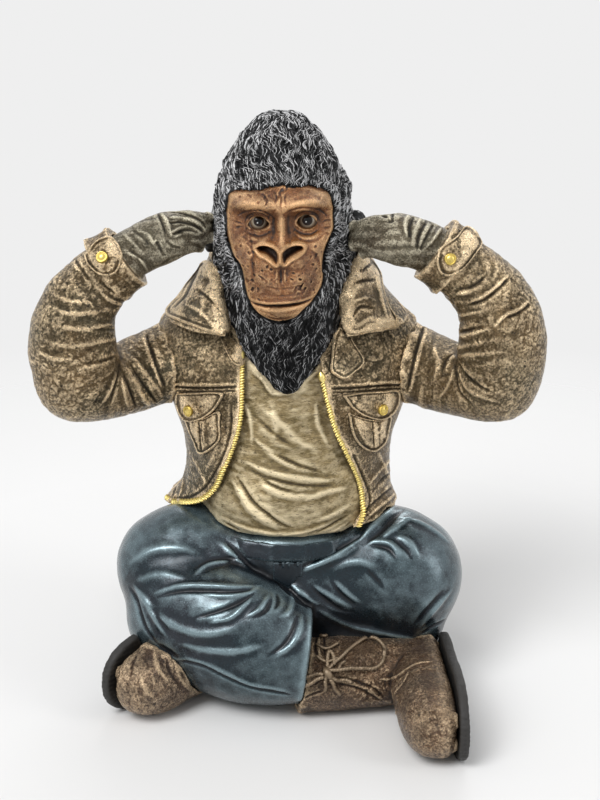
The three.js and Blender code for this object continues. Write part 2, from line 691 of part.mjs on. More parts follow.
function faceForm(grow = 0) {
  const points = [];
  const rows = FACE_OUTLINE.getPoints(FACE_ROWS);
  const middle = (rows[0].y + rows.at(-1).y) / 2;
  for (const { x: half, y: z } of rows)
    for (let j = 0; j <= FACE_COLUMNS; j++) {
      const x = half * ((2 * j) / FACE_COLUMNS - 1);
      const reach = 1 + grow / Math.max(half, 1);
      const lift = Math.sign(z - middle) * grow * Math.min(1, Math.abs(z - middle) / 30);
      points.push(new THREE.Vector3(x * reach, -faceForward(x, z) - grow, z + lift));
    }
  const width = FACE_COLUMNS + 1;
  const index = [];
  for (let i = 0; i + 1 < rows.length; i++)
    for (let j = 0; j < FACE_COLUMNS; j++) {
      const p = i * width + j;
      index.push(p, p + 1, p + 1 + width, p, p + 1 + width, p + width);
    }
  const rim = [];
  for (let j = 0; j < width; j++) rim.push(j);
  for (let i = 1; i < rows.length; i++) rim.push(i * width + FACE_COLUMNS);
  for (let j = FACE_COLUMNS - 1; j >= 0; j--) rim.push((rows.length - 1) * width + j);
  for (let i = rows.length - 2; i > 0; i--) rim.push(i * width);
  const start = points.length;
  for (const k of rim) points.push(points[k].clone().setY(-FACE_BACK + grow));
  const centre = points.push(new THREE.Vector3(0, -FACE_BACK + grow, middle)) - 1;
  rim.forEach((k, n) => {
    const m = (n + 1) % rim.length;
    index.push(k, start + n, start + m, k, start + m, rim[m], centre, start + m, start + n);
  });
  const geometry = new THREE.BufferGeometry().setFromPoints(points);
  geometry.setIndex(index);
  return posed(geometry);
}

function eyeForm(side, grow = 0) {
  const y = -faceForward(side * EYE_SPACING, EYE_HEIGHT) + EYE_RADIUS * 0.55;
  const ball = new THREE.SphereGeometry(EYE_RADIUS + grow, 12, 8);
  return posed(ball.translate(side * EYE_SPACING, y, EYE_HEIGHT));
}

function earForm(side) {
  const lobe = new THREE.SphereGeometry(1, 10, 8).scale(6.5, 8, 11);
  return posed(lobe.translate(side * (HEAD_HALF_WIDTH + EAR_OUT), 4, HEAD_MIDDLE - 1));
}

// Arms

const FINGERTIPS = {
  right: { out: 3.5, forward: 7, rise: 3 },
  left: { out: -2.5, forward: 17, rise: 1 },
};

const sleeveFolds = (along, angle) =>
  FOLD_DEPTH * Math.sin(34 * along + 1.4 * Math.sin(angle + 1)) * (0.55 + 0.45 * Math.cos(angle - 2));

function wristOf(side) {
  const name = sideName(side);
  const reach = HEAD_HALF_WIDTH + WRIST_REACH[name];
  return new THREE.Vector3(side * reach, -WRIST_FORWARD, HEAD_MIDDLE - WRIST_DROP[name]);
}

// Where the fingertips end, in front of each ear.
function fingertipsOf(side) {
  const { out, forward, rise } = FINGERTIPS[sideName(side)];
  return new THREE.Vector3(side * (HEAD_HALF_WIDTH + out), -forward, HEAD_MIDDLE + rise);
}

function sleeveForm(side, grow = 0) {
  const wrist = wristOf(side);
  const [r, x, y, z] = [SLEEVE_RADIUS, side * ELBOW_X, -ELBOW_FORWARD, ELBOW_HEIGHT];
  const upper = [
    [side * (SHOULDER_HALF_WIDTH - 16), 6, SHOULDER_HEIGHT - 16, r, r],
    [side * (SHOULDER_HALF_WIDTH + 6), 0, z - 2, r - 2, r - 3],
    [x - side * 16, y * 0.6, z - 5, r - 2, r - 4],
    [x, y, z, r - 1, r - 1],
  ];
  const rise = wrist.z - z;
  const near = [x * 0.46 + wrist.x * 0.54, wrist.y - 1, wrist.z - 12];
  const lower = [
    [x - side * 2, y, z, r, r],
    [x, y - 2, z + rise * 0.3, r + 0.5, r + 0.5],
    [x * 0.88 + wrist.x * 0.12, wrist.y - 3, z + rise * 0.6, r - 2, r - 2.5],
    [...near, WRIST_RADIUS + 1.5, WRIST_RADIUS + 1.5],
    [wrist.x, wrist.y, wrist.z, WRIST_RADIUS, WRIST_RADIUS],
  ];
  const options = { sides: 12, grow, across: ACROSS_ARM };
  const upperArm = tube(upper, { ...options, rings: 4, round: [0.2, 0.8] });
  const forearm = tube(lower, { ...options, rings: 15, round: [0.95, 0], relief: sleeveFolds });
  return upperArm.add(forearm);
}

// The way the sleeve runs at the wrist.
function wristDirection(side) {
  return new THREE.Vector3(-side * 0.82, 0.05, 0.57).normalize();
}

function cuffForm(side, grow = 0) {
  const end = wristOf(side);
  const ahead = wristDirection(side);
  const from = end.clone().addScaledVector(ahead, 3 - CUFF_LENGTH);
  const to = end.clone().addScaledVector(ahead, 3);
  const r = WRIST_RADIUS + CUFF_THICKNESS + 1.2;
  const stations = [
    [...from.toArray(), r + 0.8, r + 0.8],
    [...from.clone().lerp(to, 0.5).toArray(), r, r],
    [...to.toArray(), r - 0.6, r - 0.6],
  ];
  return tube(stations, { sides: 12, rings: 2, grow, round: [0, 0], across: ACROSS_ARM });
}

// The middle of the round tab on the cuff, which the stud closes.
function cuffTabPlace(side) {
  const middle = wristOf(side).addScaledVector(wristDirection(side), 3 - CUFF_LENGTH / 2);
  return middle.add(new THREE.Vector3(side * (side < 0 ? 8 : -2), 0, side < 0 ? 2 : -2));
}

function handForm(side, grow = 0) {
  const breadth = new THREE.Vector3(0, 0.5, 0.87).normalize();
  const wrist = wristOf(side);
  const tips = fingertipsOf(side);
  const knuckles = wrist.clone().lerp(tips, 0.56).add(new THREE.Vector3(0, -2, 6));
  const way = (point, ...halves) => [...point.toArray(), ...halves];
  const raised = (share, lift) => wrist.clone().lerp(tips, share).add(new THREE.Vector3(0, -1, lift));
  const palm = [
    way(wrist.clone().add(new THREE.Vector3(side * 4, 1, -3)), PALM_HALF + 0.5, PALM_HALF - 1),
    way(raised(0.28, 3), PALM_HALF, HAND_HALF_THICKNESS + 2),
    way(knuckles, PALM_HALF - 1, HAND_HALF_THICKNESS),
  ];
  const pieces = [tube(palm, { sides: 10, rings: 3, grow, round: [0.2, 0.7], across: breadth })];
  const slim = { sides: 6, rings: 2, grow, round: [0.4, 0.9], across: breadth };
  const digits = [-2.1, -1.3, -0.4, 0.5, 1.4];
  digits.forEach((place, i) => {
    const r = FINGER_RADIUS + (i === 0 ? 0.4 : 0);
    const base = knuckles.clone().addScaledVector(breadth, place * FINGER_SPACING);
    const tip = tips.clone().addScaledVector(breadth, place * FINGER_SPACING * 0.6);
    if (i === 0) tip.lerp(base, 0.3);
    const bend = base.clone().lerp(tip, 0.5).add(new THREE.Vector3(0, -1.5, 1.5));
    const finger = [
      way(base.clone().add(new THREE.Vector3(side * 7, 1, -3)), r, r),
      way(bend, r, r),
      way(tip, r - 0.8, r - 0.8),
    ];
    pieces.push(tube(finger, slim));
  });
  return join(pieces);
}

// A domed stud with a flat back, seated on a surface.
function stud({ point, normal }, lift) {
  const profile = [
    [0, 0],
    [BUTTON_RADIUS, 0],
    [BUTTON_RADIUS, BUTTON_HEIGHT * 0.4],
    [BUTTON_RADIUS * 0.86, BUTTON_HEIGHT * 0.8],
    [BUTTON_RADIUS * 0.5, BUTTON_HEIGHT],
    [0, BUTTON_HEIGHT * 1.05],
  ].map(([r, h]) => new THREE.Vector2(r, h));
  const turn = new THREE.Quaternion().setFromUnitVectors(new THREE.Vector3(0, 1, 0), normal);
  const geometry = new THREE.LatheGeometry(profile, 10).applyQuaternion(turn);
  const seat = point.clone().addScaledVector(normal, lift);
  return solid(geometry.translate(...seat.toArray()));
}

// Assembly. Each piece is cut by its neighbours grown by the glue line.

const bothSides = Object.values(SIDES);

const head = cut(headForm(), faceForm(GAP));
add("head_fur", head, FUR);
add("face_mask", cut(faceForm(), ...bothSides.map((side) => eyeForm(side, GAP))), SKIN);
for (const [name, side] of Object.entries(SIDES)) add(`eye_${name}`, eyeForm(side), EYE);

const headTool = headForm(GAP);

// Trousers
const thighs = bothSides.map((side) => thighForm(side));
const frontShin = frontShinForm();
const legTools = [...bothSides.map((side) => thighForm(side, GAP)), frontShinForm(GAP)];
const SHAFT_TOPS = { right: SHAFT_HEIGHT, left: REAR_SHAFT_HEIGHT };
const uppersRaw = Object.keys(SIDES).map((name) =>
  laid(bootUpper(SHAFT_TOPS[name]).intersect(upperOnly), name),
);

const legs = join([...thighs, frontShin, rearShinForm()]);
const plugHole = cylinder(PLUG_RADIUS + GAP, -PLUG_DEPTH, PLUG_DEPTH);
add("trousers", cut(seatForm().add(legs), floor, plugHole), DENIM);
add("pour_hole_plug", cylinder(PLUG_RADIUS, 0.2, PLUG_DEPTH - GAP), RESIN);

const legTool = join([...legTools, rearShinForm(GAP)]);
const trouserTool = legTool.add(seatForm(GAP));
const onSeat = (shape) =>
  cut(seatForm(GAP + PATCH_THICKNESS).intersect(shape), seatForm(GAP), legTool);
const bandTop = SEAT_TOP - 2;
const bandBottom = bandTop - WAISTBAND_HEIGHT;
const band = block([-FAR, -FAR, bandBottom], [FAR, SEAT_BACK_SHIFT, bandTop]);
add("trouser_waistband", onSeat(band), DENIM);
const flyShape = new THREE.Shape();
flyShape.moveTo(-FLY_HALF_WIDTH, bandBottom - GAP);
flyShape.lineTo(-FLY_HALF_WIDTH, CROTCH_HEIGHT);
flyShape.lineTo(FLY_HALF_WIDTH, CROTCH_HEIGHT);
flyShape.lineTo(FLY_HALF_WIDTH, bandBottom - GAP);
add("trouser_fly", onSeat(frontPrism(flyShape, 0, -FAR)), DENIM);

// Boots
Object.keys(SIDES).forEach((name, i) => {
  add(`boot_${name}_upper`, cut(uppersRaw[i], trouserTool, floor), BOOT);
  add(`boot_${name}_sole`, cut(laid(bootSole(), name), trouserTool, floor), SOLE);
});
const laces = cut(bootLaces(bootUpper(SHAFT_HEIGHT)), bootUpper(SHAFT_HEIGHT, GAP));
add("boot_right_laces", cut(laid(laces, "right"), trouserTool, floor), LACE);

// Shirt and jacket
const waistTool = legTool.add(seatForm(PATCH_THICKNESS + 2 * GAP));
add("shirt", cut(shirtForm(), headTool, waistTool), SHIRT);

const opening = frontPrism(openingShape(), -4, -FAR);
const shell = cut(jacketForm(), shirtForm(GAP), headTool, opening, waistTool);
const front = block([-FAR, -FAR, -FAR], [FAR, SIDE_SEAM_Y - GAP / 2, FAR]);
const rear = block([-FAR, SIDE_SEAM_Y + GAP / 2, -FAR], [FAR, FAR, FAR]);
const halves = {
  right: block([-FAR, -FAR, -FAR], [-GAP / 2, FAR, FAR]),
  left: block([GAP / 2, -FAR, -FAR], [FAR, FAR, FAR]),
};
const jacketSurface = surfaceOf(jacketForm());
for (const name of Object.keys(SIDES))
  add(`jacket_front_${name}`, shell.intersect(front).intersect(halves[name]), LEATHER);
add("jacket_back", shell.intersect(rear), LEATHER);

const jacketTool = jacketForm(GAP);

// Collar: a folded band round the neck that ends in two leaves
function collarForm(inset, depth, grow = 0, stretch = 0) {
  const low = COLLAR_SPREAD - depth;
  const high = COLLAR_TOP_HALF_WIDTH - inset;
  const half = SHOULDER_HALF_DEPTH;
  return tube(
    [
      [0, 4, COLLAR_BOTTOM - stretch, low, half + 4 - depth],
      [0, 5, COLLAR_BOTTOM + 10, low - 8 + depth * 0.3, half + 3 - depth * 0.7],
      [0, 7, (COLLAR_BOTTOM + COLLAR_TOP) / 2 + 4, high + 6, half + 1 - inset],
      [0, 8, COLLAR_TOP + stretch, high, half - 1 - inset],
    ],
    { sides: 18, rings: 4, grow, round: [0, 0], level: true },
  );
}
const neck = COLLAR_TOP_HALF_WIDTH;
const throat = new THREE.Shape();
throat.moveTo(-neck * 0.67, COLLAR_BOTTOM - 20);
throat.lineTo(-neck * 0.88, COLLAR_TOP - 14);
throat.lineTo(-neck, COLLAR_TOP + 5);
throat.lineTo(neck * 0.95, COLLAR_TOP + 5);
throat.lineTo(neck * 0.71, COLLAR_TOP - 18);
throat.lineTo(neck * 0.76, COLLAR_BOTTOM - 20);
const collarOuter = collarForm(0, 0, GAP);
const collar = cut(
  collarForm(0, 0),
  collarForm(COLLAR_THICKNESS, COLLAR_DEPTH, 0, 2),
  frontPrism(throat, 6, -FAR),
  headTool,
  jacketTool,
);
add("collar", collar, LEATHER);

const TAB_X = COLLAR_TOP_HALF_WIDTH * 0.785;
const tabTop = COLLAR_BOTTOM + 6;
const tabShape = new THREE.Shape();
const tabPoint = (out, down) => [TAB_X + out * TAB_WIDTH, tabTop - down * TAB_LENGTH];
tabShape.moveTo(...tabPoint(-0.43, 0));
tabShape.lineTo(...tabPoint(0, 0.06));
tabShape.lineTo(...tabPoint(0.48, 0.69));
tabShape.quadraticCurveTo(...tabPoint(0.48, 0.81), ...tabPoint(0.33, 0.84));
tabShape.lineTo(...tabPoint(0.05, 0.97));
tabShape.quadraticCurveTo(...tabPoint(-0.1, 1), ...tabPoint(-0.19, 0.91));
tabShape.lineTo(...tabPoint(-0.52, 0.53));
const tab = cut(
  jacketForm(GAP + TAB_THICKNESS).intersect(frontPrism(tabShape, 0, -FAR)),
  jacketTool,
  collarOuter,
  headTool,
);
add("throat_tab", tab, LEATHER);

// Pockets: a pouch, a flap over it and a stud
function pocketShapes(side) {
  const x = side * SHOULDER_HALF_WIDTH * 0.615;
  const top = CHEST_HEIGHT - 4;
  const flapPoint = (out, down) => [x + out * POCKET_HALF_WIDTH, top - down * FLAP_LENGTH];
  const flap = new THREE.Shape();
  flap.moveTo(...flapPoint(-1, 0));
  flap.lineTo(...flapPoint(-0.89, 0.47));
  flap.quadraticCurveTo(...flapPoint(-0.5, 0.93), ...flapPoint(0, 1));
  flap.quadraticCurveTo(...flapPoint(0.64, 0.93), ...flapPoint(0.93, 0.4));
  flap.lineTo(...flapPoint(1, 0));
  const pouchPoint = (out, down) => [x + out * POCKET_HALF_WIDTH, top - down * POUCH_LENGTH];
  const pouch = new THREE.Shape();
  pouch.moveTo(...pouchPoint(-0.71, 0.06));
  pouch.lineTo(...pouchPoint(-0.57, 0.76));
  pouch.lineTo(...pouchPoint(side * 0.07, 1));
  pouch.lineTo(...pouchPoint(0.64, 0.76));
  pouch.lineTo(...pouchPoint(0.79, 0.06));
  return { flap, pouch, x, top };
}
for (const [name, side] of Object.entries(SIDES)) {
  const { flap, pouch, x, top } = pocketShapes(side);
  const onJacket = (shape, low, high) =>
    cut(jacketForm(high).intersect(frontPrism(shape, 0, -FAR)), jacketForm(low), opening);
  const flapLow = GAP + POUCH_THICKNESS + GAP;
  add(`pocket_${name}`, onJacket(pouch, GAP, GAP + POUCH_THICKNESS), LEATHER);
  const flapShape = onJacket(flap, flapLow, flapLow + FLAP_THICKNESS);
  add(`pocket_flap_${name}`, flapShape, LEATHER);
  const seatPoint = surfaceOf(flapShape)(new THREE.Vector3(x, -FAR, top - 8), new THREE.Vector3(0, 1, 0));
  add(`pocket_stud_${name}`, cut(stud(seatPoint, GAP), jacketForm(flapLow + FLAP_THICKNESS + GAP)), BRASS);
}

// Zips: a row of teeth along each front edge, between the neck and the hem
function zipForm(edge, inward) {
  const line = new THREE.SplineCurve(edge.map(([x, z]) => new THREE.Vector2(x, z)));
  const samples = 2 * ZIP_TEETH;
  const path = [];
  for (let k = 0; k <= samples; k++) {
    const { x, y: z } = line.getPointAt(k / samples);
    const found = jacketSurface(new THREE.Vector3(x, -FAR, z), ACROSS_ARM);
    if (z > NECK_HEIGHT - 16 || !found) continue;
    const run = line.getTangentAt(k / samples);
    const out = ZIP_RADIUS + GAP;
    path.push([x - inward * run.y * out, found.point.y + ZIP_RADIUS * 0.6, z + inward * run.x * out]);
  }
  const stations = path.map((place, k) => {
    const r = ZIP_RADIUS * (k % 2 ? 1 : 0.72);
    return [...place, r, r];
  });
  const options = { sides: 4, rings: path.length - 1, round: [0, 0], across: ACROSS_ARM };
  return tube(stations, options);
}
for (const [name, edge, inward] of [["right", OPENING_RIGHT, 1], ["left", OPENING_LEFT, -1]]) {
  const zip = cut(zipForm(edge, inward), shell, shirtForm(GAP), headTool, collarOuter, waistTool);
  add(`zip_${name}`, zip, BRASS);
}

// Arms
for (const [name, side] of Object.entries(SIDES)) {
  const sleeveTool = sleeveForm(side, GAP);
  add(`sleeve_${name}`, cut(sleeveForm(side), jacketTool, collarOuter), LEATHER);
  const cuff = cut(cuffForm(side), sleeveTool, handForm(side, GAP));
  add(`cuff_${name}`, cuff, LEATHER);
  const place = cuffTabPlace(side);
  const round = new THREE.Shape().absarc(place.x, place.z, CUFF_TAB_RADIUS, 0, 2 * Math.PI);
  const tongue = cut(
    cuffForm(side, GAP + CUFF_TAB_THICKNESS).intersect(frontPrism(round, place.y, -FAR)),
    cuffForm(side, GAP),
    sleeveTool,
    handForm(side, GAP),
  );
  add(`cuff_tab_${name}`, tongue, LEATHER);
  const rest = surfaceOf(tongue)(new THREE.Vector3(place.x, -FAR, place.z), ACROSS_ARM);
  add(`cuff_stud_${name}`, cut(stud(rest, GAP), cuffForm(side, 2 * GAP + CUFF_TAB_THICKNESS)), BRASS);
  const hand = cut(handForm(side), sleeveTool, headTool);
  add(`glove_${name}`, hand, GLOVE);
  add(`ear_${name}`, cut(earForm(side), headTool, handForm(side, GAP)), FUR);
}

export default figure;
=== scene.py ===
"""Sitting gorilla ornament with its fingers in its ears: cast and painted resin.

The fine surfaces are shaped round the solids of the packed frame. Lengths in the helpers are in
millimetres and become metres when a piece is made. X runs to the right of the picture, -Y towards
the camera and +Z up. Lines and outlines that lie on a skin are drawn in the camera's picture,
600 by 800, and are laid on the skin that is seen there.
"""

import itertools
import math
from functools import cache

import bpy
import numpy as np
from bpy.props import FloatProperty, FloatVectorProperty, PointerProperty
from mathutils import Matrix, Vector
from mathutils.bvhtree import BVHTree


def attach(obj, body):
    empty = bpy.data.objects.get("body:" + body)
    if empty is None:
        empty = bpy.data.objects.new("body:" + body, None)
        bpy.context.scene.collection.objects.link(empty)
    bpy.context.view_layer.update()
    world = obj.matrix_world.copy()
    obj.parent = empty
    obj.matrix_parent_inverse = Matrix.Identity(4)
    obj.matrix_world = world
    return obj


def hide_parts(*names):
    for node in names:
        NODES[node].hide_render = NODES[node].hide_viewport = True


bl_info = {
    "name": "Sitting gorilla ornament",
    "version": (1, 0, 0),
    "blender": (4, 5, 0),
    "location": "3D View > Sidebar > Ornament",
    "description": "Builds the painted surfaces of a sitting gorilla ornament",
    "category": "Object",
}

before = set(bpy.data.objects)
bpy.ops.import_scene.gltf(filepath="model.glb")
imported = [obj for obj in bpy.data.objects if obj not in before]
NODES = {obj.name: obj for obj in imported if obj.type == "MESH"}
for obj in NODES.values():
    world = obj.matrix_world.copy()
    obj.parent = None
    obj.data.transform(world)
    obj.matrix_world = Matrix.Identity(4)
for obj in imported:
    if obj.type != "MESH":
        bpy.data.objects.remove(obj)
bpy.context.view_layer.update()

MM = 0.001
SIDES = {"right": -1, "left": 1}


# Sizes and colours


def length(name, description, default):
    """A length in metres."""
    return FloatProperty(
        name=name, description=description, default=default, min=0, precision=4, unit="LENGTH"
    )


def portion(name, description, low=0.0):
    """A share of the usual value."""
    return FloatProperty(name=name, description=description, default=1.0, min=low, subtype="FACTOR")


def shade(name, description, default):
    """A linear colour."""
    return FloatVectorProperty(
        name=name, description=description, default=default, size=3, min=0, max=1, subtype="COLOR"
    )


class OrnamentSizes(bpy.types.PropertyGroup):
    """Sizes of the fine relief."""

    strand_length: length("Strand length", "Length of a fur strand", 0.0085)
    strand_width: length("Strand width", "Width of a fur strand", 0.0012)
    strand_height: length("Strand height", "How far a fur strand stands up", 0.0015)
    stitch_length: length("Stitch length", "Length of one stitch", 0.0021)
    tooth_pitch: length("Tooth pitch", "Distance between two zip teeth", 0.00145)
    stud_radius: length("Stud radius", "Radius of the gold studs", 0.0031)
    stud_height: length("Stud height", "How far the gold studs stand up", 0.0016)
    lace_radius: length("Lace radius", "Radius of the boot laces", 0.0011)
    fold_height: portion("Fold height", "Share of the cloth folds' usual height")
    skin_grain: portion("Skin grain", "Share of the usual grain of the reshaped skins", 0.4)


class OrnamentColours(bpy.types.PropertyGroup):
    """Paints: the base coat of each finish and the dry brush on its raised parts."""

    fur: shade("Fur", "Fur", (0.0045, 0.005, 0.006))
    fur_light: shade("Fur brush", "Dry brush on the fur", (0.95, 0.95, 0.96))
    skin: shade("Skin", "Bare face", (0.30, 0.112, 0.026))
    skin_light: shade("Skin brush", "Raised parts of the face", (0.92, 0.56, 0.27))
    leather: shade("Leather", "Jacket", (0.215, 0.140, 0.064))
    leather_light: shade("Leather brush", "Raised leather", (0.98, 0.76, 0.48))
    glove: shade("Hands", "Hands", (0.125, 0.108, 0.068))
    glove_light: shade("Hands brush", "Raised parts of the hands", (0.66, 0.60, 0.45))
    shirt: shade("Shirt", "T-shirt", (0.33, 0.245, 0.115))
    shirt_light: shade("Shirt brush", "Raised folds of the shirt", (0.82, 0.69, 0.45))
    denim: shade("Trousers", "Trousers", (0.005, 0.019, 0.026))
    denim_light: shade("Trousers brush", "Raised folds of the trousers", (0.22, 0.30, 0.33))
    boot: shade("Boots", "Boot leather", (0.15, 0.080, 0.036))
    boot_light: shade("Boots brush", "Raised boot leather", (0.74, 0.55, 0.35))
    sole: shade("Soles", "Boot soles", (0.010, 0.010, 0.010))
    sole_light: shade("Soles brush", "Raised parts of the soles", (0.07, 0.066, 0.062))
    gold: shade("Gold", "Zips and studs", (0.72, 0.50, 0.10))
    gold_light: shade("Gold brush", "Raised parts of zips and studs", (0.95, 0.80, 0.32))
    lace: shade("Laces", "Boot laces", (0.13, 0.085, 0.050))
    lace_light: shade("Laces brush", "Raised strands of the laces", (0.36, 0.27, 0.17))
    resin: shade("Plug", "Plug under the seat", (0.020, 0.018, 0.016))
    resin_light: shade("Plug brush", "Raised parts of the plug", (0.06, 0.055, 0.05))
    backdrop: shade("Backdrop", "Background behind the floor", (0.863, 0.863, 0.863))


# Noise and lines


def hashed(ix, iy, iz, seed):
    """A steady random number from 0 to 1 for each lattice point."""
    n = ix * 374761393 + iy * 668265263 + iz * 1440662683 + seed * 1274126177
    n &= 0xFFFFFFFF
    n = ((n ^ (n >> 13)) * 1274126177) & 0xFFFFFFFF
    return ((n ^ (n >> 16)) & 0xFFFFFF) / float(0xFFFFFF)


# turns the lattice of the noise away from the axes
LATTICE = np.array([[0.71, -0.52, 0.48], [0.64, 0.75, -0.14], [-0.29, 0.41, 0.87]])


def noise(points, size, seed=0):
    """Smooth noise from -1 to 1 with lumps about `size` across."""
    q = points @ LATTICE / size
    low = np.floor(q).astype(np.int64)
    f = q - low
    f = f * f * (3 - 2 * f)
    total = np.zeros(len(points))
    for corner in itertools.product((0, 1), repeat=3):
        weight = np.ones(len(points))
        for axis, c in enumerate(corner):
            weight *= f[:, axis] if c else 1 - f[:, axis]
        total += weight * hashed(*(low[:, axis] + c for axis, c in enumerate(corner)), seed)
    return 2 * total - 1


def layered(points, size, layers=3, seed=0):
    """Noise with finer noise on it."""
    return sum(noise(points, size / 2**k, seed + k) / 2**k for k in range(layers))


def along(points, pieces=8):
    """A smooth line through points, as many points."""
    p = np.array(points, float)
    p = np.vstack([2 * p[0] - p[1], p, 2 * p[-1] - p[-2]])
    rows = []
    for a, b, c, d in zip(p, p[1:], p[2:], p[3:]):
        for t in np.arange(pieces) / pieces:
            bend = (2 * a - 5 * b + 4 * c - d) * t**2 + (3 * b - a - 3 * c + d) * t**3
            rows.append(0.5 * (2 * b + (c - a) * t + bend))
    rows.append(p[-2])
    return np.array(rows)


def run_along(line):
    """How far along a line each of its points is."""
    return np.concatenate([[0], np.cumsum(np.linalg.norm(np.diff(line, axis=0), axis=1))])


def evenly(line, step):
    """The same line with points every `step`."""
    run = run_along(line)
    marks = np.linspace(0, run[-1], max(2, int(run[-1] / step) + 1))
    return np.stack([np.interp(marks, run, line[:, k]) for k in range(line.shape[1])], 1)


def calmed(line, rounds):
    """A line with its small bends evened out between its ends."""
    for _ in range(rounds):
        line[1:-1] = 0.25 * line[:-2] + 0.5 * line[1:-1] + 0.25 * line[2:]
    return line


def nearest_on(points, line):
    """For each point, the distance to a line and the share of the way along it."""
    best = np.full(len(points), np.inf)
    share = np.zeros(len(points))
    run = run_along(line)
    run = run / max(run[-1], 1e-9)
    for k, (a, b) in enumerate(zip(line, line[1:])):
        ab = b - a
        t = np.clip((points - a) @ ab / max(ab @ ab, 1e-9), 0, 1)
        gap = np.linalg.norm(points - a - t[:, None] * ab, axis=1)
        near = gap < best
        best[near] = gap[near]
        share[near] = (run[k] + t * (run[k + 1] - run[k]))[near]
    return best, share


def ridge(points, line, width):
    """A ridge of height 1 along a line of points in a plane, thin at its ends."""
    gap, share = nearest_on(points, along(line, 6))
    fade = np.sin(np.pi * np.clip(share, 0.03, 0.97)) ** 0.6
    return fade * np.exp(-((gap / (width * (0.5 + 0.5 * fade))) ** 2))


# The camera's picture and what it sees

PICTURE_WIDTH, PICTURE_HEIGHT = 600, 800
EYE_ELEVATION = math.radians(20)
EYE_DISTANCE = 1000.0
TARGET = np.array([6.67, 0.0, 159.0])
FOCAL = 1800.0
AHEAD = np.array([0.0, math.cos(EYE_ELEVATION), -math.sin(EYE_ELEVATION)])
UPWARD = np.array([0.0, math.sin(EYE_ELEVATION), math.cos(EYE_ELEVATION)])
EYE = TARGET - AHEAD * EYE_DISTANCE


def picture_ray(x, y):
    """The way from the eye through a place in the picture."""
    across = np.array([1.0, 0, 0]) * (x - PICTURE_WIDTH / 2) / FOCAL
    way = AHEAD + across + UPWARD * (PICTURE_HEIGHT / 2 - y) / FOCAL
    return way / np.linalg.norm(way)


def picture_place(v):
    """Where points in millimetres stand in the picture."""
    d = v - EYE
    depth = d @ AHEAD
    x = PICTURE_WIDTH / 2 + FOCAL * d[:, 0] / depth
    return x, PICTURE_HEIGHT / 2 - FOCAL * (d @ UPWARD) / depth


def looked_at(tree, x, y):
    """What is seen of a skin at a place in the picture: its place, normal and distance."""
    place, normal, _, far = tree.ray_cast(Vector(EYE), Vector(picture_ray(x, y)))
    return None if place is None else (np.array(place), np.array(normal), far)


def traced(line, tree, step=1.5, lift=0.0):
    """A line drawn in the picture, laid on the skin that it meets."""
    hits = [looked_at(tree, x, y) for x, y in along(line, 10)]
    found = [hit[0] + lift * hit[1] for hit in hits if hit]
    return evenly(np.array(found), step) if len(found) > 1 else None


def behind(line, tree, step=1.5):
    """A line of places behind the ornament, in millimetres, pushed forward on to a skin."""
    forward = Vector((0, -1, 0))
    hits = [tree.ray_cast(Vector(place) - 400 * forward, forward)[0] for place in along(line, 10)]
    found = [np.array(hit) for hit in hits if hit is not None]
    return evenly(np.array(found), step) if len(found) > 1 else None


# Skins: surfaces that take relief


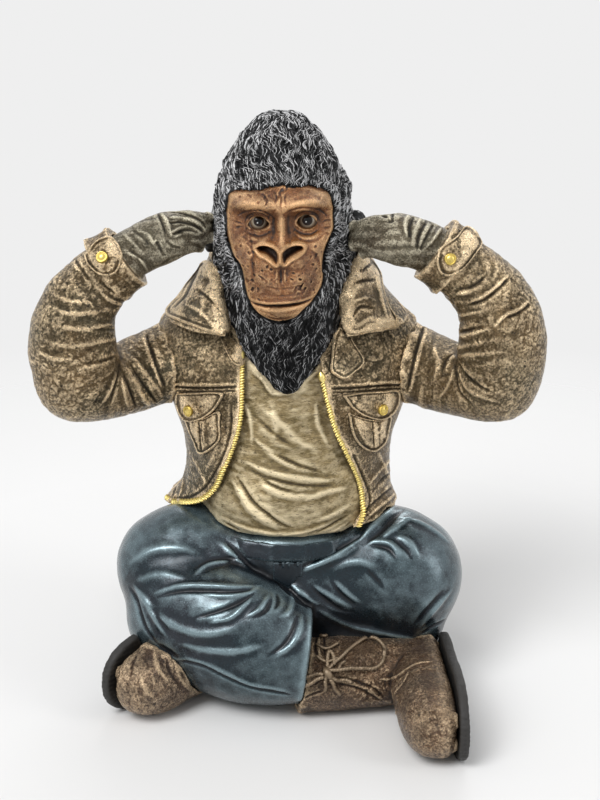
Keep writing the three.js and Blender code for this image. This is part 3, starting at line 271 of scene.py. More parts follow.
class Skin:
    """A surface of quads or triangles, in millimetres."""

    def __init__(self, v, faces):
        self.v = np.array(v, float)
        self.faces = np.array(faces)
        pairs = np.vstack(
            [self.faces[:, [k, (k + 1) % self.faces.shape[1]]] for k in range(self.faces.shape[1])]
        )
        pairs.sort(axis=1)
        keys = np.unique(pairs[:, 0].astype(np.int64) * len(self.v) + pairs[:, 1])
        self.a, self.b = keys // len(self.v), keys % len(self.v)
        self.degree = np.bincount(self.a, minlength=len(self.v)) + np.bincount(
            self.b, minlength=len(self.v)
        )

    def spread(self, values):
        """The mean over each vertex's neighbours."""
        n = len(self.v)
        if values.ndim == 1:
            total = np.bincount(self.a, values[self.b], n) + np.bincount(self.b, values[self.a], n)
            return total / self.degree
        return np.stack([self.spread(values[:, k]) for k in range(values.shape[1])], 1)

    def evened(self, rounds):
        """Rounds off the facets without shrinking the form."""
        for _ in range(rounds):
            for pull in (0.6, -0.62):
                self.v += pull * (self.spread(self.v) - self.v)
        return self

    def rounded(self, reach, crisp=0.93):
        """Rounds broad facets off between crisp edges, which stay where they are."""
        edges = np.linalg.norm(self.v[self.a] - self.v[self.b], axis=1)
        step = edges.mean()

        def times(distance):
            return int(math.ceil(2 * (distance / step) ** 2))

        n = self.normals()
        for _ in range(times(2.0)):
            n = self.spread(n)
        pinned = np.linalg.norm(n, axis=1) < crisp
        rest = self.v.copy()
        count = times(reach)
        low = rest.copy()
        for _ in range(count):
            low = self.spread(low)
            low[pinned] = rest[pinned]
        left = rest - low
        for _ in range(count):
            left = self.spread(left)
            left[pinned] = 0
        self.v = low + left
        return self

    def normals(self):
        """Outward normal of each vertex."""
        f = self.faces
        if f.shape[1] == 4:
            n = np.cross(self.v[f[:, 2]] - self.v[f[:, 0]], self.v[f[:, 3]] - self.v[f[:, 1]])
        else:
            n = np.cross(self.v[f[:, 1]] - self.v[f[:, 0]], self.v[f[:, 2]] - self.v[f[:, 0]])
        total = np.zeros_like(self.v)
        for k in range(f.shape[1]):
            for axis in range(3):
                total[:, axis] += np.bincount(f[:, k], n[:, axis], len(self.v))
        return total / np.maximum(np.linalg.norm(total, axis=1, keepdims=True), 1e-9)

    def push(self, amount):
        """Moves the surface out by `amount` at each vertex."""
        self.v += self.normals() * np.asarray(amount)[:, None]
        return self

    def tree(self):
        """The surface as a ray target."""
        return BVHTree.FromPolygons(self.v.tolist(), self.faces.tolist())

    def relief(self, rounds=2, strength=1.0):
        """How far each place stands out from its surroundings: 0.5 is level, 0 a hollow, 1 a ridge."""
        n = self.normals()
        fine = self.v.copy()
        for _ in range(rounds):
            fine = self.spread(fine)
        wide = fine.copy()
        for _ in range(rounds * 5):
            wide = self.spread(wide)
        height = np.einsum("ij,ij->i", self.v - fine, n) * 2 + np.einsum("ij,ij->i", fine - wide, n)
        return np.clip(0.5 + height * strength, 0, 1)

    def shape(self, rounds, strength, share=1.0):
        """The whole skin with its relief, ready to become a piece."""
        return self.v, self.faces, share * self.relief(rounds, strength)

    def cut(self, faces, relief):
        """Some faces of the skin, without the corners that they don't use."""
        used, index = np.unique(faces, return_inverse=True)
        return self.v[used], index.reshape(faces.shape), relief[used]


def node_arrays(name):
    """The corners and triangles of a solid of the frame."""
    mesh = NODES[name].data
    v = np.empty(len(mesh.vertices) * 3)
    mesh.vertices.foreach_get("co", v)
    mesh.calc_loop_triangles()
    f = np.empty(len(mesh.loop_triangles) * 3, np.int32)
    mesh.loop_triangles.foreach_get("vertices", f)
    return v.reshape(-1, 3) / MM, f.reshape(-1, 3)


def skin_of(*names, voxel=0.8, rounds=20, reach=0.0, crisp=0.93):
    """One even skin round solids of the frame."""
    corners, faces, start = [], [], 0
    for v, f in map(node_arrays, names):
        corners.append(v)
        faces.extend((f + start).tolist())
        start += len(v)
    mesh = bpy.data.meshes.new("blank")
    mesh.from_pydata(np.vstack(corners).tolist(), [], faces)
    blank = bpy.data.objects.new("blank", mesh)
    bpy.context.scene.collection.objects.link(blank)
    modifier = blank.modifiers.new("skin", "REMESH")
    modifier.mode = "VOXEL"
    grain = bpy.context.scene.ornament_sizes.skin_grain
    modifier.voxel_size = voxel * grain * 1
    shaped = blank.evaluated_get(bpy.context.evaluated_depsgraph_get()).to_mesh()
    v = np.empty(len(shaped.vertices) * 3)
    shaped.vertices.foreach_get("co", v)
    f = np.empty(len(shaped.loops), np.int32)
    shaped.loops.foreach_get("vertex_index", f)
    skin = Skin(v.reshape(-1, 3), f.reshape(-1, 4))
    bpy.data.objects.remove(blank)
    bpy.data.meshes.remove(mesh)
    skin.evened(int(rounds / (1)))
    return skin.rounded(reach, crisp) if reach else skin


def raised(skin, folds, tree=None, wider=1.0, taller=1.0, lay=traced, step=2.0):
    """Raises or sinks (height < 0) folds, each given as (points, height, width)."""
    tree = tree or skin.tree()
    strength = taller * bpy.context.scene.ornament_sizes.fold_height
    total = np.zeros(len(skin.v))
    for points, height, width in folds:
        line = lay(points, tree, step=step)
        if line is not None:
            total += fold_height(skin.v, line, height * strength, width * wider)
    return skin.push(total)


def fold_height(v, line, height, width):
    """The height of one fold at each vertex: it tapers at its ends and has a valley on both sides."""
    reach = 3.2 * width
    near = np.all((v > line.min(0) - reach) & (v < line.max(0) + reach), axis=1)
    out = np.zeros(len(v))
    gap, share = nearest_on(v[near], line)
    if width < 1.0:
        fade = np.clip(np.minimum(share, 1 - share) * 12, 0, 1)
    else:
        fade = np.sin(np.pi * np.clip(share, 0.02, 0.98)) ** 0.7
    wide = width * (0.45 + 0.55 * fade)
    body = np.exp(-((gap / wide) ** 1.5)) - 0.3 * np.exp(-((gap / (2 * wide)) ** 2))
    out[near] = height * 1.4 * fade * body
    return out


# Pieces


def piece(name, shape, finish, *nodes):
    """Makes a piece from (corners, faces, relief). It rides on the ornament, has a finish and
    stands for solids of the frame."""
    v, faces, relief = shape
    mesh = bpy.data.meshes.new(name)
    faces = faces.tolist() if isinstance(faces, np.ndarray) else faces
    mesh.from_pydata((v * MM).tolist(), [], faces)
    mesh.polygons.foreach_set("use_smooth", [True] * len(mesh.polygons))
    mesh.attributes.new("relief", "FLOAT", "POINT").data.foreach_set("value", relief)
    mesh.materials.append(paint(finish))
    mesh.update()
    made = bpy.data.objects.new(name, mesh)
    bpy.context.scene.collection.objects.link(made)
    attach(made, "root")
    if nodes:
        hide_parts(*nodes)


def grid_faces(rows, columns, closed=False):
    """Quads of a grid of points, row by row."""
    last = columns if closed else columns - 1
    i, j = np.meshgrid(np.arange(rows - 1) * columns, np.arange(last), indexing="ij")
    k = (j + 1) % columns
    return np.stack([i + j, i + k, i + columns + k, i + columns + j], -1).reshape(-1, 4)


class Parts:
    """Small closed shapes that are gathered into one piece."""

    def __init__(self):
        self.v, self.faces, self.relief, self.count = [], [], [], 0

    def add(self, v, faces, relief):
        """Adds a shape with the relief of its corners."""
        self.v.append(v)
        self.faces.extend([tuple(int(i) + self.count for i in face) for face in faces])
        self.relief.append(relief)
        self.count += len(v)

    def shape(self, share=1.0):
        """All the shapes as one."""
        return np.vstack(self.v), self.faces, share * np.concatenate(self.relief)


def frames_along(line, up):
    """The heading, side and up directions at each point of a line."""
    ahead = np.gradient(line, axis=0)
    ahead /= np.maximum(np.linalg.norm(ahead, axis=1, keepdims=True), 1e-9)
    up = np.broadcast_to(up, line.shape).astype(float)
    side = np.cross(ahead, up)
    side /= np.maximum(np.linalg.norm(side, axis=1, keepdims=True), 1e-9)
    return ahead, side, np.cross(side, ahead)


# the strands of a twisted cord turn this far in the length of its radius
STRAND_LAY = 1.05


def rope(parts, line, radius, sides=8, up=(0.3, -0.9, 0.2), flat=1.0, twist=0.0, swell=0.0):
    """A closed round or flat cord along a line, with domed ends. `swell` gives it two strands."""
    line = np.asarray(line, float)
    ahead, side, over = frames_along(line, np.array(up))
    n = len(line)
    r = np.broadcast_to(np.asarray(radius, float), n)
    ends = np.ones(n)
    ends[[0, -1]] = 0.45
    angle = np.arange(sides) * 2 * np.pi / sides
    run = run_along(line)
    rings, relief = [], []
    for k in range(n):
        a = angle + twist * run[k]
        reach = r[k] * ends[k] * (1 + swell * np.cos(2 * (angle - STRAND_LAY * run[k] / r[k])))
        across = (reach * np.cos(a))[:, None] * side[k]
        rings.append(line[k] + across + (reach * flat * np.sin(a))[:, None] * over[k])
        relief.append(0.5 + 0.35 * np.sin(a))
    tips = [line[:1] - ahead[:1] * r[0] * 0.4, line[-1:] + ahead[-1:] * r[-1] * 0.4]
    faces = grid_faces(n, sides, closed=True)[:, ::-1].tolist()
    first = n * sides
    for j in range(sides):
        k = (j + 1) % sides
        faces.append((first, k, j))
        faces.append((first + 1, first - sides + j, first - sides + k))
    parts.add(np.vstack(rings + tips), faces, np.concatenate([*relief, [0.5, 0.5]]))


def stitches(parts, line, tree):
    """Short raised stitches along a line on a skin."""
    if line is None:
        return
    size = bpy.context.scene.ornament_sizes.stitch_length / MM
    marks = evenly(line, size * 1.45)
    for a, b in zip(marks, marks[1:]):
        mid, half = (a + b) / 2, (b - a) / 2 * 0.68
        n = np.array(tree.find_nearest(Vector(mid))[1])
        dash = mid + np.outer([-1, -0.4, 0.4, 1], half) + 0.14 * n
        dash[[0, -1]] -= n * 0.35
        rope(parts, dash, 0.48, sides=5, up=n, flat=0.8)


# Paints


def node_of(tree, kind, x, y, **values):
    """A shader node with its settings and socket values."""
    made = tree.nodes.new(kind)
    made.location = (x, y)
    for key, value in values.items():
        if key in made.inputs:
            made.inputs[key].default_value = value
        else:
            setattr(made, key, value)
    return made


def feed(tree, socket, value):
    """Links a socket to its source, or sets it to a number or a colour."""
    if isinstance(value, bpy.types.NodeSocket):
        tree.links.new(value, socket)
    elif isinstance(value, (int, float)):
        socket.default_value = value
    else:
        socket.default_value = (*value, 1)


def ramp(tree, x, y, source, *stops):
    """A colour ramp from (position, grey or colour) stops."""
    made = node_of(tree, "ShaderNodeValToRGB", x, y)
    elements = made.color_ramp.elements
    elements.remove(elements[-1])
    for k, (position, value) in enumerate(stops):
        element = elements[0] if k == 0 else elements.new(position)
        element.position = position
        element.color = (*((value,) * 3 if isinstance(value, float) else value), 1)
    tree.links.new(source, made.inputs[0])
    return made.outputs[0]


def mixed(tree, x, y, factor, a, b, blend="MIX"):
    """Mixes two colours by a factor."""
    made = node_of(tree, "ShaderNodeMix", x, y, data_type="RGBA", blend_type=blend)
    for k, value in ((0, factor), (6, a), (7, b)):
        feed(tree, made.inputs[k], value)
    return made.outputs[2]


def worked(tree, x, y, kind, *values):
    """One step of arithmetic on sockets and numbers."""
    made = node_of(tree, "ShaderNodeMath", x, y, operation=kind)
    for socket, value in zip(made.inputs, values):
        feed(tree, socket, value)
    return made.outputs[0]


def clouds(tree, x, y, place, scale, detail=4.0, roughness=0.6):
    """Cloudy noise over a place."""
    made = node_of(tree, "ShaderNodeTexNoise", x, y, Scale=scale, Detail=detail, Roughness=roughness)
    tree.links.new(place, made.inputs["Vector"])
    return made.outputs["Fac"]


def relief_of(tree, x, y):
    """How far each place of a piece stands out, from its relief attribute."""
    return node_of(tree, "ShaderNodeAttribute", x, y, attribute_name="relief").outputs["Fac"]


def bare_paint(name, settings):
    """A new material: itself, its node tree and its shader with some settings."""
    material = bpy.data.materials.new(name)
    material.use_nodes = True
    tree = material.node_tree
    tree.nodes.clear()
    body = node_of(tree, "ShaderNodeBsdfPrincipled", 900, 0, **settings)
    out = node_of(tree, "ShaderNodeOutputMaterial", 1200, 0)
    tree.links.new(body.outputs[0], out.inputs[0])
    return material, tree, body


def antique_paint(
    name,
    base,
    brush,
    wash=(0.006, 0.005, 0.004),
    tint=None,
    metal=0.45,
    rough=0.36,
    coat=0.25,
    patch=26,
    grain=1.2,
    creases=0.0,
    crease_size=2.6,
    brush_range=(0.54, 0.95),
    brush_strength=0.7,
    wash_range=(0.1, 0.46),
    wash_strength=0.85,
    bump=0.3,
    stretch=(1, 1, 1),
    specks=0.0,
    spec=0.5,
    ragged=0.3,
):
    """Cast resin painted in coats: a base with cloudy patches, a dark wash that stays in the hollows
    and creases, and a pale dry brush on whatever stands proud. Sizes are in millimetres."""
    gloss = {"Coat Weight": coat, "Coat Roughness": 0.16, "Specular IOR Level": spec}
    material, tree, body = bare_paint(name, {"Metallic": metal, **gloss})
    place = node_of(tree, "ShaderNodeTexCoord", -1500, 0)
    mapping = node_of(tree, "ShaderNodeMapping", -1300, 0, Scale=stretch)
    tree.links.new(place.outputs["Object"], mapping.inputs[0])

    def cloud(x, y, size, *settings):
        return clouds(tree, x, y, mapping.outputs[0], 1000 / size, *settings)

    # the base coat: two shades in cloudy patches, and a fine mottle
    broad = ramp(tree, -780, 400, cloud(-1000, 400, patch, 5.0), (0.34, 0.0), (0.66, 1.0))
    colour = mixed(tree, -500, 400, broad, base, tint or tuple(0.55 * c for c in base))
    mottle = cloud(-1000, 100, grain, 4.0, 0.65)
    fine = ramp(tree, -780, 100, mottle, (0.3, 0.6), (0.55, 1.0), (0.8, 1.35))
    colour = mixed(tree, -300, 400, 1.0, colour, fine, "MULTIPLY")

    # how proud each place stands, with ragged edges
    uneven = worked(tree, -780, -250, "MULTIPLY_ADD", mottle, ragged, -0.5 * ragged)
    height = worked(tree, -600, -250, "ADD", relief_of(tree, -1000, -200), uneven)
    proud = ramp(tree, -420, -200, height, (brush_range[0], 0.0), (brush_range[1], 1.0))
    light = worked(tree, -150, -200, "MULTIPLY", proud, brush_strength)
    hollow = ramp(tree, -420, -420, height, (wash_range[0], 1.0), (wash_range[1], 0.0))
    dark = worked(tree, -150, -420, "MULTIPLY", hollow, wash_strength)
    surface = mottle
    if creases > 0:
        # winding creases: the middle lines of two noises, strongest in patches
        lines = []
        for y, size, width in ((-700, crease_size, 0.045), (-900, crease_size * 0.45, 0.06)):
            off = worked(tree, -800, y, "SUBTRACT", cloud(-1000, y, size, 2.0), 0.5)
            near = worked(tree, -650, y, "ABSOLUTE", off)
            lines.append(ramp(tree, -500, y, near, (0.0, 1.0), (width * 0.4, 0.6), (width, 0.0)))
        patches = cloud(-800, -1150, crease_size * 7, 3.0)
        some = ramp(tree, -500, -1150, patches, (0.40, 0.15), (0.62, 1.0))
        crease = worked(tree, -250, -800, "MAXIMUM", *lines)
        crease = worked(tree, -100, -850, "MULTIPLY", crease, some)
        crease = worked(tree, 50, -850, "MULTIPLY", crease, creases)
        dark = worked(tree, 200, -500, "MAXIMUM", dark, crease)
        # worn tops between the creases, brushed pale: partly wear and partly painted glints of light
        worn_tops_and_glints = cloud(-800, -1400, crease_size * 0.8, 3.0)
        worn_tops_and_glints = ramp(tree, -500, -1400, worn_tops_and_glints, (0.52, 0.0), (0.75, 1.0))
        worn_tops_and_glints = worked(tree, -100, -1200, "MULTIPLY", worn_tops_and_glints, some)
        worn_tops_and_glints = worked(tree, 50, -1200, "MULTIPLY", worn_tops_and_glints, 0.5 * creases * brush_strength)
        light = worked(tree, 200, -200, "MAXIMUM", light, worn_tops_and_glints)
        surface = worked(tree, 250, -800, "SUBTRACT", mottle, crease)
    if specks > 0:
        dots = cloud(-700, -1600, 1.5 * grain, 3.0, 0.7)
        dots = ramp(tree, -420, -1600, dots, (0.58, 0.0), (0.66, 1.0))
        dots = worked(tree, 50, -1600, "MULTIPLY", dots, specks)
        dark = worked(tree, 350, -500, "MAXIMUM", dark, dots)
    colour = mixed(tree, 50, 300, light, colour, brush)
    sheen = worked(tree, 300, -100, "MULTIPLY_ADD", mottle, 0.3, rough - 0.15)
    bumps = node_of(tree, "ShaderNodeBump", 600, -400, Strength=bump, Distance=0.0008)
    tree.links.new(surface, bumps.inputs["Height"])
    for socket, source in (
        ("Base Color", mixed(tree, 400, 300, dark, colour, wash)),
        ("Roughness", worked(tree, 500, -100, "MULTIPLY_ADD", dark, 0.3, sheen)),
        ("Normal", bumps.outputs[0]),
        ("Coat Normal", bumps.outputs[0]),
    ):
        tree.links.new(source, body.inputs[socket])
    return material


def eye_paint(name):
    """A glossy painted eye: black pupil, dark brown iris, dirty ivory and a white fleck."""
    material, tree, body = bare_paint(
        name, {"Specular IOR Level": 0.1, "Coat Weight": 0.35, "Coat Roughness": 0.03}
    )
    place = node_of(tree, "ShaderNodeTexCoord", -900, -250).outputs["Object"]
    specks = clouds(tree, -600, -250, place, 1400, 4.0, 0.5)
    rings = ramp(
        tree, -100, 0, worked(tree, -350, 0, "MULTIPLY_ADD", specks, 0.05, relief_of(tree, -600, 0)),
        (0.21, (0.0010, 0.0008, 0.0008)),
        (0.25, (0.010, 0.004, 0.002)),
        (0.34, (0.022, 0.008, 0.003)),
        (0.39, (0.003, 0.002, 0.0015)),
        (0.46, (0.33, 0.28, 0.21)),
        (0.60, (0.20, 0.14, 0.09)),
        (0.80, (0.04, 0.022, 0.012)),
        # white: the painted glint of light
        (0.92, (0.85, 0.85, 0.84)),
    )
    tree.links.new(rings, body.inputs["Base Color"])
    dull = worked(tree, 200, -200, "MULTIPLY_ADD", specks, 0.08, 0.12)
    tree.links.new(dull, body.inputs["Roughness"])
    return material


# for each finish: its material, its slot and its coats where they differ from the usual ones
FINISHES = {
    "fur": ("fur_paint", "fur", dict(
        wash=(0.002, 0.002, 0.0025), metal=0.0, rough=0.45, coat=0.0, patch=18, grain=1.1,
        brush_range=(0.75, 0.95), brush_strength=0.95, wash_range=(0.05, 0.5), bump=0.1, spec=0.3,
    )),
    "skin": ("face_paint", "face_skin", dict(
        wash=(0.014, 0.006, 0.004), tint=(0.20, 0.068, 0.018), metal=0.4, rough=0.25, coat=0.45,
        patch=14, grain=0.9, creases=0.6, crease_size=2.0, wash_range=(0.08, 0.48),
        wash_strength=0.92, bump=0.6, specks=0.7,
    )),
    "eye": ("eye_paint", "eye", {}),
    "leather": ("jacket_paint", "leather", dict(
        wash=(0.012, 0.009, 0.006), tint=(0.105, 0.088, 0.050), metal=0.8, rough=0.26, coat=0.2,
        patch=34, grain=1.25, creases=0.45, crease_size=1.5, brush_range=(0.50, 0.82),
        brush_strength=0.95, bump=1.0, specks=0.95, ragged=0.75,
    )),
    "glove": ("hand_paint", "glove", dict(
        wash=(0.010, 0.009, 0.007), tint=(0.085, 0.062, 0.034), metal=0.65, rough=0.27, coat=0.2,
        patch=22, grain=0.9, creases=0.5, crease_size=2.4, brush_range=(0.51, 0.84),
        brush_strength=0.9, bump=0.8, specks=0.4, ragged=0.5,
    )),
    "shirt": ("shirt_paint", "shirt", dict(
        wash=(0.032, 0.021, 0.009), tint=(0.165, 0.122, 0.048), metal=0.6, rough=0.34, coat=0.12,
        patch=13, grain=1.0, creases=0.3, crease_size=2.4, brush_range=(0.44, 0.9),
        brush_strength=0.85, wash_range=(0.05, 0.45), bump=0.5, stretch=(0.45, 1, 1.4), specks=0.7,
    )),
    "denim": ("trouser_paint", "denim", dict(
        wash=(0.003, 0.004, 0.006), tint=(0.018, 0.024, 0.033), metal=0.5, rough=0.24, coat=0.3,
        patch=46, grain=0.9, brush_range=(0.55, 1.0), brush_strength=0.85, wash_range=(0.1, 0.48),
        wash_strength=0.92, bump=0.15, specks=0.45, spec=0.35,
    )),
    "boot": ("boot_paint", "boot", dict(
        wash=(0.012, 0.008, 0.006), tint=(0.085, 0.052, 0.034), metal=0.65, rough=0.25, coat=0.3,
        patch=22, grain=1.15, creases=0.5, crease_size=1.6, brush_range=(0.52, 0.88),
        brush_strength=0.9, bump=1.0, specks=0.9, ragged=0.7,
    )),
    "sole": ("sole_paint", "sole", dict(
        metal=0.0, rough=0.6, coat=0.0, patch=18, brush_strength=0.4, bump=0.4, spec=0.3,
    )),
    "gold": ("gold_paint", "brass", dict(
        wash=(0.07, 0.045, 0.01), tint=(0.60, 0.42, 0.07), metal=0.8, rough=0.3, coat=0.2, patch=9,
        grain=0.8, brush_strength=0.8, bump=0.15,
    )),
    "lace": ("lace_paint", "lace", dict(rough=0.4, coat=0.2, patch=10, grain=0.8)),
    "resin": ("plug_paint", "plug", dict(
        metal=0.0, rough=0.7, coat=0.0, patch=9, grain=0.9, bump=0.2,
    )),
}


def paint(finish):
    """The material of a finish, made the first time that it is used."""
    name, _, coats = FINISHES[finish]
    if name in bpy.data.materials:
        return bpy.data.materials[name]
    if finish == "eye":
        return eye_paint(name)
    colours = bpy.context.scene.ornament_colours
    base, brush = (tuple(getattr(colours, key)) for key in (finish, f"{finish}_light"))
    return antique_paint(name, base, brush, **coats)


# Head

HEAD_PIVOT = np.array([-1.2, 0.0, 218.0])
HEAD_TILT = math.radians(-1.6)
# height, middle, half-width and half-depth of the skull
SKULL = [
    (179, -13, 9, 28.6), (188, -12, 18, 30.2), (199, -10, 27, 32.8), (214, -4, 31.8, 39.1),
    (238.9, 0, 36.4, 41.2), (256, 0, 37.5, 42), (279.4, 1, 34.9, 41.2), (295, 2, 29.6, 37),
    (308, 3, 22.5, 29.4), (316.5, 3, 14.3, 20.2),
]
SKULL_LINE = along(SKULL, 12)
EYE_RADIUS = 5.4
CROWN_STRANDS = 6900
BEARD_STRANDS = 4600

# outlines and lines of the face, drawn in the picture; heights and widths are in millimetres
FACE_OUTLINE = [
    (226.9, 202.6), (228.5, 194.3), (234.7, 190.8), (247.1, 189.6), (259.5, 189.2), (269.8, 186.7),
    (282.2, 185), (294.6, 185.5), (309.1, 185.5), (321.5, 189.2), (330.6, 194.3), (333.9, 205.7),
    (334.3, 218.1), (334.7, 226.4), (332.2, 234.6), (328.5, 242.9), (324.8, 253.2), (323.6, 265.6),
    (324.6, 276), (322.7, 286.3), (318.4, 294.5), (312.8, 302.8), (304.5, 311.1), (295, 319),
    (282, 323), (271, 321.5), (261, 317), (252.5, 309), (247.1, 299.1), (244, 288.3), (241.9, 276),
    (239.3, 265.6), (232.6, 255.3), (228.9, 242.9), (226.4, 230.5), (225.6, 214),
]
EYE_OUTLINES = {
    "right": [
        (247.5, 225.3), (250.6, 219.5), (256.4, 216.2), (263.2, 217.7), (269.2, 224.3),
        (265.7, 228.4), (258.5, 230.5), (252.3, 228.8),
    ],
    "left": [
        (296.3, 223.3), (299.2, 218.1), (306, 214.8), (313.2, 216.7), (316.9, 222.2),
        (314.3, 226.8), (307, 229.5), (299.8, 227.4),
    ],
}
EYE_CENTRES = {"right": (258.9, 223.4), "left": (307.4, 222.4)}
NOSTRILS = {
    "right": [
        (255.8, 248.3), (259.1, 246.2), (264.9, 245.4), (271.9, 247.9), (277.3, 252.8),
        (278.5, 259.8), (276.4, 264.8), (271.9, 261.1), (265.7, 256.5), (259.5, 253.6),
    ],
    "left": [
        (281.8, 253.6), (286.8, 248.7), (294.6, 245.8), (300.8, 245.6), (303.7, 247.9),
        (302.1, 251.6), (295.9, 255.7), (288.8, 260.2), (284.3, 264), (281.8, 259.8),
    ],
}
FACE_LINES = [
    ([(238.8, 214.8), (247.1, 211.5), (257.4, 210.7), (265.7, 212.3), (272.3, 216.4)], -1.2, 1),
    ([(232.2, 197.4), (240.9, 194.5), (253.3, 195.8), (262.6, 200.5)], 0.7, 1.6),
    ([(236.8, 204.9), (247.1, 203.2), (259.5, 204.9), (268.8, 209.8)], 0.8, 1.8),
    ([(259.1, 192.9), (264, 196.4), (266.9, 201.6), (264.9, 206.1)], -0.9, 0.7),
    ([(273.6, 190.8), (276.4, 197.4), (274.8, 204)], -0.6, 0.6),
    ([(279.8, 193.3), (281.4, 199.5), (280.6, 205.7)], -0.5, 0.6),
    ([(286.8, 192.5), (284.7, 199.5), (286.4, 204.9)], -0.6, 0.6),
    ([(277.3, 193.3), (278.5, 200.5), (278.1, 206.9)], 0.5, 0.9),
    ([(283.9, 214.8), (292.6, 210.2), (305, 208.2), (318.4, 209.8), (326, 215.2)], -1.3, 1),
    ([(290.9, 198.3), (300.8, 193.3), (313.2, 192.1), (325.6, 196.2)], 0.7, 1.6),
    ([(292.6, 204.9), (302.9, 201.6), (315.3, 201.6), (325.6, 206.1)], 0.8, 1.8),
    ([(294.6, 199.5), (302.9, 197.4), (313.2, 198.3)], -0.5, 0.7),
    ([(273.1, 216), (274, 226.4), (272.7, 236.7)], -0.9, 1.2),
    ([(288, 215.2), (287.2, 226.4), (288.8, 236.7)], -1.1, 1.3),
    ([(244.6, 222.2), (247.9, 216.4), (255.4, 212.7), (264, 214.4), (270.7, 221.4)], -0.7, 0.6),
    ([(247.1, 231.3), (253.3, 235.5), (262.6, 236.3), (271.1, 231.7)], -0.8, 0.6),
    ([(245.5, 233.4), (252.9, 237.9), (262.6, 238.8), (271.9, 234.6)], 0.5, 0.9),
    ([(241.7, 235.5), (249.2, 241.2), (261.6, 243.3), (269.8, 240)], -0.5, 0.7),
    ([(294.2, 222.2), (297.1, 215.2), (305.4, 211.5), (314.9, 213.6), (319.8, 221)], -0.7, 0.6),
    ([(294.2, 228.8), (300.4, 233.8), (310.7, 234.6), (318.6, 229.7)], -0.8, 0.6),
    ([(294.6, 231.7), (301.2, 236.7), (311.6, 237.1), (320.7, 232.6)], 0.5, 0.9),
    ([(295.5, 235.5), (303.3, 240.4), (315.3, 240.4), (324.8, 233.8)], -0.6, 0.7),
    ([(231.8, 219.8), (237.6, 222.2), (242.6, 223.5)], -0.5, 0.6),
    ([(233.5, 228), (238.8, 227.2), (243, 226.4)], -0.5, 0.6),
    ([(321.9, 222.2), (326.9, 220.2), (331.4, 220.6)], -0.5, 0.6),
    ([(323.1, 227.2), (327.3, 228), (331, 226.4)], -0.5, 0.6),
    ([(324.8, 232.6), (328.9, 234.2), (331.8, 232.6)], -0.5, 0.6),
    ([(254.1, 253.2), (252.1, 261.5), (253.3, 271.8), (250.4, 283.8)], -0.9, 1.1),
    ([(308.7, 249.1), (315.3, 255.3), (320.2, 265.6), (321.9, 279)], -0.9, 1.1),
    ([(250.4, 249.1), (247.5, 259.4), (246.7, 271.8)], 0.6, 1.6),
    ([(276.4, 268.1), (276.9, 274.2), (276, 283.8)], 0.5, 0.7),
    ([(285.5, 268.1), (284.7, 274.2), (285.5, 283.8)], 0.5, 0.7),
    ([(281, 266.9), (280.8, 274.2), (281, 286.2)], -0.7, 0.8),
    ([(246.3, 298.4), (253.3, 303.3), (264, 306), (278.5, 306.2), (294.6, 304.8), (307.4, 301.3),
      (318.6, 296.3)], -2.6, 0.75),
    ([(251.7, 299.6), (263.6, 302.9), (278.5, 303.3), (295.5, 301.7), (311.6, 297.1)], 0.9, 1.1),
    ([(253.3, 306.6), (264.5, 309.9), (278.9, 310.6), (295.5, 308.7), (311.2, 303.3)], 0.9, 1.3),
    ([(261.6, 315.3), (271.9, 318.6), (282.2, 319), (294.6, 316.1)], -0.9, 1.4),
    ([(265.7, 286.2), (276, 288.7), (290.5, 288.2), (302.9, 283.8)], -0.3, 0.7),
    ([(261.6, 293.4), (274, 295.9), (290.5, 295.5), (307, 291)], -0.3, 0.7),
]


def smooth(t):
    """A soft step from 0 to 1."""
    t = np.clip(t, 0, 1)
    return t * t * (3 - 2 * t)


def tilted(v):
    """From the upright head to its place on the ornament."""
    c, s = math.cos(HEAD_TILT), math.sin(HEAD_TILT)
    x, y, z = v[:, 0], v[:, 1], v[:, 2] - HEAD_PIVOT[2]
    return np.stack([c * x + s * z, y, -s * x + c * z], 1) + HEAD_PIVOT


def upright(v):
    """From a place on the ornament back to the upright head."""
    c, s = math.cos(HEAD_TILT), math.sin(HEAD_TILT)
    x, y, z = (v - HEAD_PIVOT).T
    return np.stack([c * x - s * z, y, s * x + c * z + HEAD_PIVOT[2]], 1)


def skull_front(x, z):
    """How far forward the skull reaches at each place of the front view."""
    mid, half, deep = (np.interp(z, SKULL_LINE[:, 0], SKULL_LINE[:, k]) for k in (1, 2, 3))
    return deep * np.sqrt(np.clip(1 - (x / half) ** 2, 0.02, 1)) - mid


def lump(x, z, cx, cz, rx, rz, power=2.0):
    """A smooth hump of height 1."""
    return np.exp(-(np.abs((x - cx) / rx) ** power + np.abs((z - cz) / rz) ** power))


def within(x, z, outline):
    """The distance to a closed outline of the front view, above 0 inside it."""
    line = along(np.vstack([outline, outline[:1]]), 4)
    gap, _ = nearest_on(np.stack([x, z], 1), line)
    odd = np.zeros(len(x), bool)
    for (ax, az), (bx, bz) in zip(line, line[1:]):
        odd ^= ((az > z) != (bz > z)) & (x < ax + (bx - ax) * (z - az) / (bz - az + 1e-12))
    return np.where(odd, gap, -gap)


def face_form(x, z):
    """The broad forms over the skull: muzzle, lips, cheeks, sockets, brow and nose."""
    a = np.abs(x)
    y = np.full_like(x, 0.9)
    y += 10.5 * lump(a, z, 0, 239, 20.5, 18.5, 3.0)
    y += 2.0 * lump(a, z, 9.5, 244, 7.5, 6.5)
    y += 2.2 * lump(a, z, 0, 224.6, 14, 3.8)
    y -= 1.6 * lump(a, z, 0, 219.5, 12, 2.4)
    y += 2.6 * lump(a, z, 19.5, 257.5, 6.5, 7)
    y -= 6.2 * lump(a, z, 13, 269.5, 9.5, 6.4, 2.4)
    y += 5.8 * lump(a, z, 14, 280.2, 12.5, 4.6, 2.4)
    y += 2.6 * lump(a, z, 0, 280.5, 6.5, 5)
    y -= 1.4 * lump(a, z, 0, 288.5, 22, 2.6)
    y += 4.6 * lump(a, z, 0, 268, 3.2, 10)
    return y + 5.4 * lump(a, z, 0, 256, 14.0, 6.8, 3.2)


